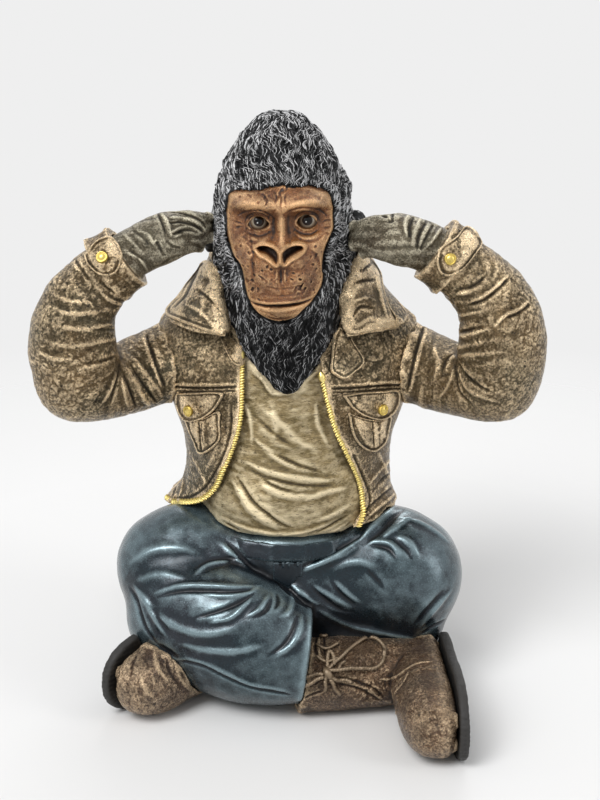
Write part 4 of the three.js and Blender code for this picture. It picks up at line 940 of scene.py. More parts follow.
def on_face(line):
    """Places (x, height) of the upright head under a line of the picture."""
    aim = np.array(line, float)
    x, z = (aim[:, 0] - 284) / 1.95, 270 - (aim[:, 1] - 223) / 1.83
    for _ in range(14):
        depth = skull_front(x, z) + face_form(x, z)
        px, py = picture_place(tilted(np.stack([x, -depth, z], 1)))
        x, z = x + 0.8 * (aim[:, 0] - px) / 1.95, z - 0.7 * (aim[:, 1] - py) / 1.83
    return np.stack([x, z], 1)


def eye_centre(name):
    """The middle of an eyeball in the upright head."""
    (x, z), = on_face([EYE_CENTRES[name]])
    depth = skull_front(np.array([x]), np.array([z])) + face_form(np.array([x]), np.array([z]))
    return np.array([x, -(depth[0] + 1.4 - EYE_RADIUS), z])


def face_height(x, z):
    """The whole relief of the bare face over the skull."""
    p = np.stack([x, np.zeros_like(x), z], 1)
    y = face_form(x, z)
    for line, height, width in FACE_LINES:
        y += height * ridge(p[:, [0, 2]], on_face(line), width)
    for outline in NOSTRILS.values():
        gap = within(x, z, on_face(outline))
        y += 1.5 * np.exp(-(((gap + 0.9) / 0.9) ** 2))
        y -= 7.0 * smooth(gap / 1.5)
    # worn, pitted skin
    y += 0.40 * layered(p, 9, 3, 5) + 0.20 * noise(p, 2.2, 9)
    pits = np.clip(noise(p, 1.7, 11) - 0.25, 0, 1) * np.clip(0.6 + noise(p, 12, 13), 0, 1)
    y -= (1.2 + 1.4 * lump(np.abs(x), z, 10, 240, 12, 10)) * pits
    # the lids lie on the eyeballs
    for name, outline in EYE_OUTLINES.items():
        middle = eye_centre(name)
        apart = (x - middle[0]) ** 2 + (z - middle[2]) ** 2
        ball = -middle[1] + np.sqrt(np.clip(EYE_RADIUS**2 - apart, 0.05, None)) - skull_front(x, z)
        gap = within(x, z, on_face(outline))
        lid = ball + 0.3 + 0.9 * np.exp(-(((gap + 0.8) / 0.8) ** 2))
        near = smooth((gap + 3.2) / 2.4) * (apart < EYE_RADIUS**2)
        y = y * (1 - near) + np.maximum(y, lid) * near
        y = np.where(gap > 0, y + (ball - 1.2 - y) * smooth(gap / 0.35), y)
    return y


def blurred(grid, reach):
    """A grid of heights, averaged over `reach` places each way."""
    for axis in (0, 1):
        for _ in range(2):
            wide = np.pad(grid, [(reach + 1, reach) if k == axis else (0, 0) for k in (0, 1)], "edge")
            total = np.cumsum(wide, axis)
            ahead = np.take(total, np.arange(2 * reach + 1, total.shape[axis]), axis)
            behind = np.take(total, np.arange(total.shape[axis] - 2 * reach - 1), axis)
            grid = (ahead - behind) / (2 * reach + 1)
    return grid


@cache
def face_skin():
    """The bare face as a fine sheet whose edge goes in under the fur, its hollows and what shows."""
    rows, columns = ((330, 270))
    outline = on_face(FACE_OUTLINE)
    x = np.linspace(outline[:, 0].min() - 3, outline[:, 0].max() + 3, columns)
    z = np.linspace(outline[:, 1].min() - 3, outline[:, 1].max() + 2, rows)
    x, z = (g.ravel() for g in np.meshgrid(x, z))
    gap = within(x, z, outline)
    share = smooth((gap + 1.1) / 2.6)
    y = face_height(x, z) * share - 2.6 * (1 - share)
    low = y.reshape(rows, columns)
    hollow = (low - blurred(low, rows // 24)).ravel()
    skin = Skin(tilted(np.stack([x, -skull_front(x, z) - y, z], 1)), grid_faces(rows, columns))
    return skin, np.clip(hollow * share, -4, 2), gap > -1.6


def face_gap(v):
    """How far inside the outline of the bare face places of the head are."""
    x, y, z = upright(v).T
    return np.where(v[:, 1] < -8, within(x, z, on_face(FACE_OUTLINE)), -99.0)


def fur_flow(p):
    """The way the fur lies: away from the face, down over the neck, curlier towards the crown."""
    way = p - np.array([-1.0, -34.0, 260.0])
    way[:, 1] += np.clip(p[:, 2] - 285, 0, 30) * 0.6
    beard = np.clip((232 - p[:, 2]) / 14, 0, 1)[:, None]
    back = np.clip((p[:, 1] - 5) / 20, 0, 1)[:, None]
    way = way / np.linalg.norm(way, axis=1, keepdims=True)
    way = way * (1 - beard) + np.array([0, -0.15, -1.0]) * beard
    way = way * (1 - 0.8 * back) + np.array([0, 0.1, -1.0]) * 0.8 * back
    curly = np.clip((np.linalg.norm(p - np.array([-1.0, -38.0, 258.0]), axis=1) - 30) / 30, 0.15, 1)
    curly = curly[:, None] * (1 - 0.6 * beard)
    swirl = np.stack([noise(p, 13, 31), noise(p, 13, 32), noise(p, 13, 33)], 1)
    fine = np.stack([noise(p, 5, 34), noise(p, 5, 35), noise(p, 5, 36)], 1)
    return way + 1.3 * curly * swirl + 0.7 * curly * fine


def above_face(p, n, face):
    """How far strands rise to lie on top of the face where they cross its edge."""
    gap = face_gap(p)
    rise = np.zeros(len(p))
    for k in np.flatnonzero(gap > -3.5):
        hit = face.find_nearest(Vector(p[k]))[0]
        rise[k] = np.clip((np.array(hit) - p[k]) @ n[k], 0, 6) + 0.35
    return rise * smooth((gap + 3.5) / 2.5)


def fur_strands(skin, keep, face, count, seed, stretch=1.0):
    """Tapering wavy strands of fur laid over a skin, as (corners, faces, relief)."""
    size = bpy.context.scene.ornament_sizes
    rng = np.random.default_rng(seed)
    f = skin.faces
    middle = skin.v[f].mean(1)
    areas = np.linalg.norm(
        np.cross(skin.v[f[:, 2]] - skin.v[f[:, 0]], skin.v[f[:, 3]] - skin.v[f[:, 1]]), axis=1
    ) * keep(middle)
    picks = rng.choice(len(f), count, p=areas / areas.sum())
    blend = rng.dirichlet((1, 1, 1, 1), count)
    p = np.einsum("nk,nkj->nj", blend, skin.v[f[picks]])
    tree = skin.tree()
    steps = 8
    reach = size.strand_length / MM * stretch * rng.uniform(0.7, 1.25, count)
    bend = 7 * noise(p, 10, seed) + rng.uniform(-0.7, 0.7, count)
    width = size.strand_width / MM * rng.uniform(0.75, 1.25, count)
    tall = size.strand_height / MM * rng.uniform(0.7, 1.3, count)
    rows, ups, ways = [], [], []
    for k in range(steps):
        hits = [tree.find_nearest(Vector(q)) for q in p]
        p = np.array([tuple(h[0]) for h in hits])
        n = np.array([tuple(h[1]) for h in hits])
        way = fur_flow(p)
        way -= np.einsum("ij,ij->i", way, n)[:, None] * n
        way /= np.maximum(np.linalg.norm(way, axis=1, keepdims=True), 1e-9)
        way = way + 0.8 * np.sin(bend + k * 1.2)[:, None] * np.cross(way, n)
        way /= np.linalg.norm(way, axis=1, keepdims=True)
        rows.append(p + n * above_face(p, n, face)[:, None])
        ups.append(n)
        ways.append(way)
        p = p + way * (reach / (steps - 1))[:, None]
    v, relief = [], []
    for k in range(steps):
        t = k / (steps - 1)
        side = np.cross(ways[k], ups[k])
        side /= np.maximum(np.linalg.norm(side, axis=1, keepdims=True), 1e-9)
        w = (width * (0.6 + 0.4 * min(1, 3 * t)) * (1 - t**2.4) * 0.5 + 0.04)[:, None]
        h = (tall * (0.2 + 0.8 * math.sin(math.pi * min(1, 0.2 + 0.72 * t))))[:, None]
        lift = 0.4 * t**2 * tall[:, None]
        v += [
            rows[k] - side * w - ups[k] * (0.4 - lift),
            rows[k] + ups[k] * (h + lift),
            rows[k] + side * w - ups[k] * (0.4 - lift),
        ]
        tone = math.sin(math.pi * min(1, 0.3 + 0.7 * t)) ** 0.7
        relief += [np.full(count, 0.2), np.full(count, 0.3 + 0.7 * tone), np.full(count, 0.2)]
    columns = 3 * steps
    v = np.stack(v, 1).reshape(-1, 3)
    relief = np.stack(relief, 1)
    relief += (rng.uniform(-0.25, 0.08, count)[:, None]) * (relief > 0.25)
    one = []
    for k in range(steps - 1):
        a = 3 * k
        one += [(a, a + 1, a + 4, a + 3), (a + 1, a + 2, a + 5, a + 4)]
    faces = (np.array(one)[None] + (np.arange(count) * columns)[:, None, None]).reshape(-1, 4)
    return v, faces[:, ::-1], np.clip(relief, 0, 1).ravel()


def make_head():
    """The head: a lumpy skin under thousands of fur strands."""
    base = skin_of("head_fur", "face_mask", voxel=1.1, rounds=24)
    keep = face_gap(base.v) < 1.2
    base.push(0.35 * layered(base.v, 6, 2, 3) - 0.5 - 1.9 * smooth((base.v[:, 2] - 280) / 28))
    bald = base.cut(base.faces[keep[base.faces].all(1)], np.full(len(base.v), 0.2))
    piece("head_skin", bald, "fur", "head_fur")

    def cover(p):
        """How thickly the fur grows: densest along the edge of the face."""
        gap = face_gap(p)
        return (gap < 1.0) * (1 + 2.2 * (gap > -3.5))

    def crown(p):
        return cover(p) * (p[:, 2] > 232)

    def neck(p):
        return cover(p) * (p[:, 2] <= 238) * (p[:, 1] < 30)

    face = face_skin()[0].tree()
    piece("head_fur_crown", fur_strands(base, crown, face, CROWN_STRANDS, 11), "fur", "head_fur")
    v, f, relief = fur_strands(base, neck, face, BEARD_STRANDS, 12, 1.15)
    piece("head_fur_beard", (v, f, 0.92 * relief), "fur", "head_fur")


def make_face():
    """The bare face."""
    skin, hollow, shown = face_skin()
    relief = np.clip(skin.relief(3, 1.4) + 0.17 * hollow, 0, 1)
    piece("face", skin.cut(skin.faces[shown[skin.faces].any(1)], relief), "skin", "face_mask")


def make_eyes():
    """Two glossy eyes, looking at the camera from under the lids of the face."""
    rows, columns = 31, 40
    look = np.array([0.0, -0.96, 0.28])
    across = np.array([1.0, 0, 0])
    up = np.cross(across, look)
    polar = np.linspace(0, math.pi * 0.55, rows)[:, None, None]
    turn = (np.arange(columns) * 2 * math.pi / columns)[None, :, None]
    ball = np.sin(polar) * (np.cos(turn) * across + np.sin(turn) * up) + np.cos(polar) * look
    ball = EYE_RADIUS * ball.reshape(-1, 3)
    # a painted highlight: a white glint of light, up and to the left
    turn = np.arange(10)[:, None] * math.pi / 5
    middle = look - 0.13 * across + 0.16 * up
    painted_glint = np.vstack([middle + 0.07 * (np.cos(turn) * across + np.sin(turn) * up), middle])
    painted_glint *= (EYE_RADIUS + 0.06) / np.linalg.norm(painted_glint, axis=1, keepdims=True)
    start = len(ball)
    faces = grid_faces(rows, columns, closed=True).tolist()
    faces += [(start + 10, start + k, start + (k + 1) % 10) for k in range(10)]
    rings = np.repeat(np.minimum(polar.ravel() / 1.35, 0.8), columns)
    relief = np.append(rings, np.ones(len(painted_glint)))
    for name in SIDES:
        v = tilted(eye_centre(name) + np.vstack([ball, painted_glint]))
        piece(f"eye_{name}", (v, faces, relief), "eye", f"eye_{name}")


def make_ears():
    """Two small crumpled ears under the fingertips."""
    for name in SIDES:
        skin = skin_of(f"ear_{name}", voxel=0.5, rounds=12)
        fold = np.sin(skin.v[:, 2] * 0.9 + skin.v[:, 1] * 0.7 + 2 * noise(skin.v, 7, 4))
        skin.push(0.5 * fold + 0.5 * layered(skin.v, 4, 2, 8))
        piece(f"ear_{name}_folds", skin.shape(2, 0.8, 0.85), "fur", f"ear_{name}")


# Clothes

SHIRT_FOLDS = [
    ([(237, 477), (244, 488), (253, 502), (267, 514), (281, 524), (293, 528)], -1.7, 1.2),
    ([(232, 480), (240, 494), (249, 508), (263, 520), (280, 531)], 1.4, 2.2),
    ([(262, 478), (270, 484), (281, 489), (293, 491)], -1.3, 1),
    ([(260, 484), (272, 491), (290, 497), (312, 496)], 1, 2),
    ([(253, 438), (267, 450), (284, 462), (298, 469)], 1.1, 1.8),
    ([(257, 445), (275, 455), (298, 465), (322, 472)], -1, 1.2),
    ([(246, 462), (268, 472), (300, 479), (331, 481)], 1.2, 1.9),
    ([(245, 468), (268, 478), (300, 485), (332, 486)], -0.8, 1.1),
    ([(260, 407), (281, 424), (298, 441), (320, 452)], 0.8, 3),
    ([(255, 416), (272, 432), (292, 446)], -0.7, 1.6),
    ([(345, 488), (325, 493), (303, 500)], 0.9, 1.9),
    ([(221, 517), (246, 528), (276, 534), (305, 532), (331, 524)], 1.3, 1.8),
    ([(224, 522), (248, 534), (276, 539), (305, 537)], -0.9, 1.1),
    ([(352, 503), (335, 514), (318, 521)], 0.9, 1.8),
    ([(348, 515), (330, 526), (316, 533)], -0.9, 1.1),
    ([(313, 541), (331, 534), (348, 526)], 1, 1.4),
    ([(214, 524), (246, 540), (270, 547), (296, 545), (322, 538), (348, 522)], 1.2, 1.3),
    ([(243, 400), (250, 420), (252, 444)], 0.8, 1.8),
    ([(316, 402), (318, 424), (328, 446)], 0.8, 1.8),
    ([(270, 402), (276, 420), (274, 440)], 0.5, 2.4),
]
NECKLINE = [
    (251, 370), (262, 379), (270, 391), (277, 394), (293, 390), (305, 381), (319, 370),
]


def make_shirt():
    """The T-shirt with its folds, neckband and hem."""
    skin = skin_of("shirt", voxel=0.95, rounds=26, reach=6)
    tree = skin.tree()
    raised(skin, SHIRT_FOLDS, tree)
    raised(skin, [(NECKLINE, 1.4, 0.99)], tree)
    skin.push(0.35 * layered(skin.v, 20, 2, 41) + 0.14 * layered(skin.v * (1, 1, 2.2), 4.4, 3, 42))
    piece("tee_shirt", skin.shape(4, 0.8), "shirt", "shirt")


YOKES = {
    "right": [
        (164, 386), (190, 388), (215, 388), (238, 387),
    ],
    "left": [
        (331, 389), (355, 388), (380, 386), (405, 385),
    ],
}
JACKET_FOLDS = {
    "right": [
        (YOKES["right"], -1.2, 0.7),
        ([(164, 390), (190, 391.5), (215, 391.5), (238, 390.5)], -0.8, 0.6),
        ([(164, 383), (190, 385), (215, 385), (238, 384)], 0.6, 1.2),
        ([(178, 470), (176, 484), (172, 498)], -1.2, 1.4),
        ([(184, 476), (182, 490), (176, 503)], 1.0, 1.8),
        ([(206, 470), (214, 456), (219, 440)], 0.8, 3.0),
        ([(192, 458), (200, 470), (206, 484)], 0.7, 3.0),
        ([(231, 400), (231, 425), (226, 447), (216, 470), (204, 488), (188, 497), (168, 497)], -0.7, 0.8),
    ],
    "left": [
        (YOKES["left"], -1.2, 0.7),
        ([(331, 392.5), (355, 391.5), (380, 389.5), (405, 388.5)], -0.8, 0.6),
        ([(331, 386), (355, 385), (380, 383), (405, 382)], 0.6, 1.2),
        ([(399, 490), (385, 502), (372, 513), (362, 524)], 1.3, 1.3),
        ([(396, 484), (382, 496), (370, 507), (362, 516)], -0.9, 0.9),
        ([(371, 494), (382, 480), (394, 470)], -0.9, 1.2),
        ([(368, 486), (380, 470), (392, 458)], 0.9, 2.2),
        ([(352, 452), (362, 474), (370, 496), (368, 512)], -0.7, 0.9),
        ([(378, 452), (384, 466), (390, 478)], 0.8, 2.2),
    ],
}


def crinkled(v, seed, deep=0.36):
    """The fine winding creases of old leather, strongest in patches."""
    where = np.clip(0.6 + 1.1 * noise(v, 17, seed + 1), 0.15, 1)
    bent = v + 1.2 * np.stack([noise(v, 6, seed + k) for k in (7, 8, 9)], 1)
    lines = np.clip(1 - np.abs(noise(bent, 4.6, seed + 2)) / 0.2, 0, 1)
    finer = np.clip(1 - np.abs(noise(bent, 2.5, seed + 3)) / 0.25, 0, 1)
    grain = 0.5 * noise(v, 3.2, seed + 4) + 0.3 * noise(v, 1.7, seed + 5)
    return deep * where * (grain - np.maximum(lines, 0.65 * finer))


def leather_skin(*names, voxel=0.8, rounds=22, seed=50, lumps=0.3, reach=5, crisp=0.93, deep=0.3):
    """A skin with the soft dents and creases of thick leather."""
    skin = skin_of(*names, voxel=voxel, rounds=rounds, reach=reach, crisp=crisp)
    return skin.push(lumps * layered(skin.v, 13, 2, seed) + crinkled(skin.v, seed, deep))


BACK_SEAMS = [
    ([(-64, 60, 196), (-30, 60, 199), (0, 60, 200), (30, 60, 199), (64, 60, 196)], -1.0, 0.8),
    ([(-60, 60, 108), (-30, 60, 107), (0, 60, 107), (30, 60, 107), (60, 60, 108)], -1.0, 0.8),
    ([(-26, 60, 194), (-24, 60, 160), (-20, 60, 110)], -0.9, 0.8),
    ([(26, 60, 194), (24, 60, 160), (20, 60, 110)], -0.9, 0.8),
    ([(-10, 60, 150), (6, 60, 146), (20, 60, 150)], 1.1, 3.0),
    ([(-34, 60, 140), (-14, 60, 132), (10, 60, 130), (34, 60, 136)], 1.2, 3.4),
    ([(-50, 60, 166), (-44, 60, 150), (-40, 60, 130)], 1.0, 3.0),
    ([(52, 60, 168), (46, 60, 150), (42, 60, 128)], 1.0, 3.0),
]


def make_jacket():
    """The open leather jacket: two fronts and a back, with seams, dents and stitching."""
    thread = Parts()
    for name, side in SIDES.items():
        skin = leather_skin(f"jacket_front_{name}", seed=50 + side)
        raised(skin, JACKET_FOLDS[name])
        final = skin.tree()
        for drop in (-3.2, 5.2):
            stitches(thread, traced([(x, y + drop) for x, y in YOKES[name]], final), final)
        piece(f"jacket_{name}_front", skin.shape(3, 0.6), "leather", f"jacket_front_{name}")
    skin = leather_skin("jacket_back", seed=60, voxel=0.95)
    raised(skin, BACK_SEAMS, lay=behind, step=3.0)
    final = skin.tree()
    for points, _, _ in BACK_SEAMS[:4]:
        stitches(thread, behind([(x - 1.8, y, z - 1.8) for x, y, z in points], final), final)
    piece("jacket_rear", skin.shape(3, 0.6), "leather", "jacket_back")
    piece("jacket_stitching", thread.shape(), "leather")


def patch(outline, tree, thick=1.5, rings=14, points=120, rim=0.6, lines=(), puff=0.0, calm=6):
    """A sewn-on piece of leather, drawn in the picture and laid on the skins under it."""
    edge = evenly(along(outline + outline[:1], 8), 0.1)[:-1]
    edge = edge[np.linspace(0, len(edge) - 1, points).astype(int)]
    centre = edge.mean(0)
    shares = np.concatenate([np.linspace(0.06, 0.8, rings - 6), [0.86, 0.9, 0.94, 0.97, 0.99, 1.0]])
    base, up = [], []
    for s in shares:
        last = None
        for spoke in edge - centre:
            # a place that misses the skin, or lands far behind it, moves in towards the centre
            for share in np.arange(s, 0, -0.01):
                hit = looked_at(tree, *(centre + share * spoke))
                if hit and (last is None or hit[2] < last + 9):
                    break
            base.append(hit[0])
            up.append(hit[1])
            last = hit[2] if last is None else 0.5 * (last + hit[2])
    base, up = np.array(base), np.array(up)
    skin_faces = grid_faces(len(shares), points, closed=True)
    even = Skin(base, skin_faces)
    for _ in range(calm):
        up = even.spread(up) * 0.7 + up * 0.3
        base = base * 0.7 + 0.3 * even.spread(base)
    # the middle is a plain blend, so that it keeps no mark
    for k, values in itertools.product((0, 1), (base, up)):
        ring = values[2 * points : 3 * points]
        part = shares[k] / shares[2]
        values[k * points : (k + 1) * points] = ring.mean(0) * (1 - part) + ring * part
    up /= np.linalg.norm(up, axis=1, keepdims=True)
    s = np.repeat(shares, points)
    height = thick * np.where(s < 0.9, 1.0, np.sqrt(np.clip(1 - ((s - 0.9) / 0.1) ** 2, 0, 1)))
    height += puff * (1 - s**2)
    height += rim * np.exp(-(((s - 0.92) / 0.035) ** 2)) - rim * np.exp(-(((s - 0.83) / 0.03) ** 2))
    flat = np.stack(picture_place(base), 1)
    for line, tall, wide in lines:
        height += tall * ridge(flat, line, wide)
    height -= 0.9 * (s > 0.995)
    skin = Skin(base + up * height[:, None], skin_faces)
    skin.v += up * (0.2 * layered(base, 7, 2, 71) + crinkled(base, 72, 0.35))[:, None]
    middle = len(skin.v)
    v = np.vstack([skin.v, skin.v[:points].mean(0)])
    faces = skin_faces[:, ::-1].tolist() + [(middle, (j + 1) % points, j) for j in range(points)]
    # the outermost rings take a low relief and so the dark wash: painted shade along the patch's raised
    # edge
    relief = np.append(np.where(s > 0.975, 0.12, skin.relief(2, 0.8)), 0.5)
    if np.cross(v[points] - v[0], v[1] - v[0]) @ AHEAD > 0:
        faces = [tuple(reversed(face)) for face in faces]
    return v, faces, relief


POCKETS = {
    "right": {
        "flap": [
            (179, 392), (200, 391.5), (224, 392), (222, 401), (214, 412), (203, 419), (191, 421),
            (184, 416), (179, 403),
        ],
        "pouch": [
            (184, 412), (204, 417), (220, 410), (221, 424), (220, 442), (203, 455), (197, 446),
            (190, 430),
        ],
        "pleats": [
            ([(201, 420), (202, 436), (204, 453)], -1.3, 0.9),
            ([(206, 420), (207, 440)], 0.5, 1.2),
            ([(218, 416), (219, 438), (204, 451)], -0.7, 0.8),
        ],
        "stud": (192.7, 409),
    },
    "left": {
        "flap": [
            (341, 395), (358, 392), (380, 390), (396, 389), (397, 399), (392, 411), (381, 419),
            (366, 417), (352, 409),
        ],
        "pouch": [
            (347, 412), (362, 417), (380, 419), (390, 414), (388, 430), (384, 443), (373, 452),
            (360, 447), (351, 433),
        ],
        "pleats": [
            ([(370, 418), (371, 434), (372, 448)], -0.9, 0.8),
            ([(376, 418), (377, 434), (377, 446)], -0.6, 0.8),
            ([(353, 416), (357, 434), (366, 446), (374, 448), (384, 438)], -0.6, 0.8),
        ],
        "stud": (378.9, 408),
    },
}


def dome(parts, centre, normal, radius, height):
    """A struck stud: a raised rim with a low dome in it."""
    n = normal / np.linalg.norm(normal)
    side = np.cross(n, [0.1, 0.2, 1.0])
    side /= np.linalg.norm(side)
    up = np.cross(n, side)
    profile = [
        (1.0, -0.6), (1.04, 0.1), (1.0, 0.5), (0.9, 0.8), (0.78, 0.78), (0.7, 0.62), (0.6, 0.72),
        (0.42, 0.93), (0.2, 1.03),
    ]
    turns = 28
    angle = np.arange(turns) * 2 * np.pi / turns
    v, relief = [], []
    for r, h in profile:
        reach = r * radius * (1 + 0.03 * np.sin(3 * angle + centre[0]))
        ring = (reach * np.cos(angle))[:, None] * side + (reach * np.sin(angle))[:, None] * up
        v.append(centre + ring + h * height * n)
        relief.append(np.full(turns, 0.3 if r > 0.99 or 0.65 < r < 0.75 else 0.68))
    last = len(profile) * turns
    faces = grid_faces(len(profile), turns, closed=True).tolist()
    faces += [(last - turns + j, last - turns + (j + 1) % turns, last) for j in range(turns)]
    v.append([centre + 1.06 * height * n])
    parts.add(np.vstack(v), faces, np.concatenate([*relief, [0.7]]))


def add_stud(name, node, tree, place, lift):
    """A gold stud on the leather, at a place of the picture."""
    size = bpy.context.scene.ornament_sizes
    hit, normal, _ = looked_at(tree, *place)
    stud = Parts()
    dome(stud, hit + lift * normal, normal, size.stud_radius / MM, size.stud_height / MM)
    piece(name, stud.shape(), "gold", node)


def make_pockets():
    """Two breast pockets with pleated pouches, stitched flaps and gold studs."""
    for name in SIDES:
        tree = skin_of(f"jacket_front_{name}", voxel=1.0, rounds=22, reach=5).tree()
        parts = POCKETS[name]
        pouch = patch(parts["pouch"], tree, thick=1.5, puff=1.0, lines=parts["pleats"])
        flap = patch(parts["flap"], tree, thick=2.9, puff=0.5)
        piece(f"pocket_{name}_pouch", pouch, "leather", f"pocket_{name}")
        piece(f"pocket_{name}_flap", flap, "leather", f"pocket_flap_{name}")
        add_stud(f"pocket_{name}_stud", f"pocket_stud_{name}", tree, parts["stud"], 3.3)


# outline, lines and thickness of each
LEAVES = {
    "collar_leaf_right": (
        [
            (206, 257), (213, 262), (219, 276), (224, 298), (228, 318), (229, 336), (212, 333),
            (198, 329), (182, 323.5), (166, 316.5), (172, 306), (180, 298), (188, 282), (197, 268),
        ],
        [
            ([(204, 268), (196, 283), (188, 298), (178, 310)], -1, 1.6),
            ([(214, 284), (208, 298), (204, 316)], 0.8, 3),
            ([(200, 292), (212, 300), (220, 312)], -0.8, 1.6),
            ([(190, 306), (204, 314), (216, 326)], 0.7, 2.2),
        ],
        2.6,
    ),
    "collar_leaf_left": (
        [
            (362, 250), (370, 256), (377, 266), (382, 288), (390, 310), (399, 328), (384, 332),
            (370, 333.5), (347, 334.5), (343, 322), (341, 302), (344, 282), (352, 264),
        ],
        [
            ([(378, 273), (383, 294), (393, 323)], -1.2, 1.7),
            ([(372, 268), (375, 290), (383, 318)], 0.9, 2.2),
            ([(352, 274), (360, 271), (368, 264)], -1, 1.4),
            ([(348, 290), (356, 283), (371, 282)], -1, 1.5),
            ([(347, 305), (360, 300), (372, 303)], 0.9, 2),
            ([(350, 318), (358, 308), (371, 310)], -0.8, 1.5),
            ([(354, 328), (366, 320), (380, 322)], 0.7, 2.2),
        ],
        2.6,
    ),
    "lapel_right": (
        [
            (218, 306), (223, 314), (229, 332), (238, 345), (243, 352), (241, 368), (233, 362),
            (226, 350), (220, 334), (216, 318),
        ],
        [],
        2.2,
    ),
}
THROAT_STRAP = [
    (338, 328), (345, 332), (354, 346), (363, 362), (353, 373), (343, 380), (335, 377), (329, 371),
    (330, 356), (332, 342),
]


def make_collar():
    """The turned-down collar with two stitched leaves, a lapel and the throat strap."""
    band = leather_skin("collar", voxel=0.8, rounds=16, seed=80, lumps=0.5)
    fronts = ("jacket_front_right", "jacket_front_left")
    tree = skin_of("collar", *fronts, voxel=1.1, rounds=20, reach=4).tree()
    piece("collar_band", band.shape(3, 0.6), "leather", "collar")
    for name, (outline, lines, thick) in LEAVES.items():
        leaf = patch(outline, tree, thick, puff=0.3, rings=22, lines=lines, calm=14)
        piece(name, leaf, "leather")
    strap = patch(THROAT_STRAP, tree, thick=4.2, puff=0.8, rings=18)
    piece("throat_strap", strap, "leather", "throat_tab")


ZIP_LINES = {
    "right": [
        (241, 352), (243, 367), (242, 400), (239, 424), (234, 445), (226, 469), (217, 488),
        (202, 503), (181, 509), (160, 508),
    ],
    "left": [
        (319, 371), (326, 397), (332, 428), (344, 455), (355, 476), (362, 496), (363, 512),
        (356, 531),
    ],
}
FRONT_MIDDLES = {"right": (190, 440), "left": (385, 440)}


def edge_traced(line, tree, middle):
    """A line drawn along an edge, moved in towards a middle where it misses the skin."""
    found = []
    for place in along(line, 10):
        for share in np.arange(0, 0.4, 0.01):
            hit = looked_at(tree, *(place + share * (np.array(middle) - place)))
            if hit:
                found.append(hit[0] + 0.6 * hit[1])
                break
    return calmed(np.array(found), 12)


def make_zips():
    """Two rows of gold zip teeth along the open fronts, each on its tape, with sliders."""
    pitch = bpy.context.scene.ornament_sizes.tooth_pitch / MM
    for name in SIDES:
        tree = skin_of(f"jacket_front_{name}", voxel=1.1, rounds=18).tree()
        marks = evenly(edge_traced(ZIP_LINES[name], tree, FRONT_MIDDLES[name]), pitch)
        ahead, across, over = frames_along(marks, np.array([0.0, -1.0, 0.25]))
        teeth = Parts()
        for k, mark in enumerate(marks):
            lean = across[k] * 1.6 + ahead[k] * (0.75 if k % 2 else 0.35)
            tooth = [mark - lean, mark, mark + lean]
            rope(teeth, tooth, [0.62, 0.82, 0.62], sides=7, up=over[k], flat=1.25)
        slider = marks[0] + over[0] * 0.8 + np.outer([-1.5, 0, 2.5, 4.5], ahead[0])
        rope(teeth, slider, [1.2, 2.0, 1.8, 0.9], sides=10, up=over[0], flat=0.8)
        tape = Parts()
        rope(tape, marks - over * 0.4, 1.25, sides=8, up=(0, -1, 0.2), flat=0.8)
        v, f, relief = teeth.shape()
        piece(f"zip_{name}_teeth", (v, f, relief + 0.1), "gold", f"zip_{name}")
        piece(f"zip_{name}_tape", tape.shape(0.4), "gold")


# Arms

# the middle line of each arm, from the shoulder over the elbow and the wrist to the ear
ARMS = {
    "right": [
        (-52, 6, 184), (-80, 0, 177), (-104, -13, 174), (-116, -22, 180), (-118, -24, 199),
        (-115, -24, 220), (-101, -22, 236), (-87, -21, 246), (-62, -18, 256), (-40, -12, 259),
    ],
    "left": [
        (52, 6, 184), (80, 0, 177), (104, -13, 174), (116, -22, 180), (118, -24, 199),
        (112, -24, 220), (97, -22, 239), (80, -21, 250), (62, -18, 256), (40, -12, 259),
    ],
}


def arm_places(v, name):
    """How far along the arm places are, and how they lie from its middle line."""
    line = along(ARMS[name], 8)
    _, share = nearest_on(v, line)
    run = run_along(line)
    foot = [np.interp(share, run / run[-1], line[:, k]) for k in range(3)]
    return share * run[-1], v - np.stack(foot, 1)


def sleeve_relief(v, name, seed):
    """Folds that run round the arm: deep at the elbow and behind the cuff, fine between."""
    s, off = arm_places(v, name)
    warp = 3.0 * noise(v, 15, seed) + 1.6 * noise(v, 7, seed + 1)
    round_arm = np.stack([s + warp, 0.26 * off[:, 0], 0.26 * off[:, 1] + 0.26 * off[:, 2]], 1)
    broad = np.abs(noise(round_arm, 7.5, seed + 2))
    fine = np.abs(noise(round_arm * np.array([1.0, 2.0, 2.0]), 3.6, seed + 3))
    elbow = np.exp(-(((s - 76) / 26) ** 2))
    cuff = np.exp(-(((s - 130) / 16) ** 2))
    armhole = np.exp(-(((s - 26) / 14) ** 2))
    inner = np.clip(0.5 - 0.03 * (off[:, 0] * SIDES[name] + off[:, 2] * -0.6), 0.2, 1)
    deep = 0.25 + 0.9 * elbow * inner + 0.4 * cuff + 0.8 * armhole
    return deep * (1.2 * broad - 0.3) + (0.25 + 0.35 * cuff) * (1.2 * fine - 0.3)


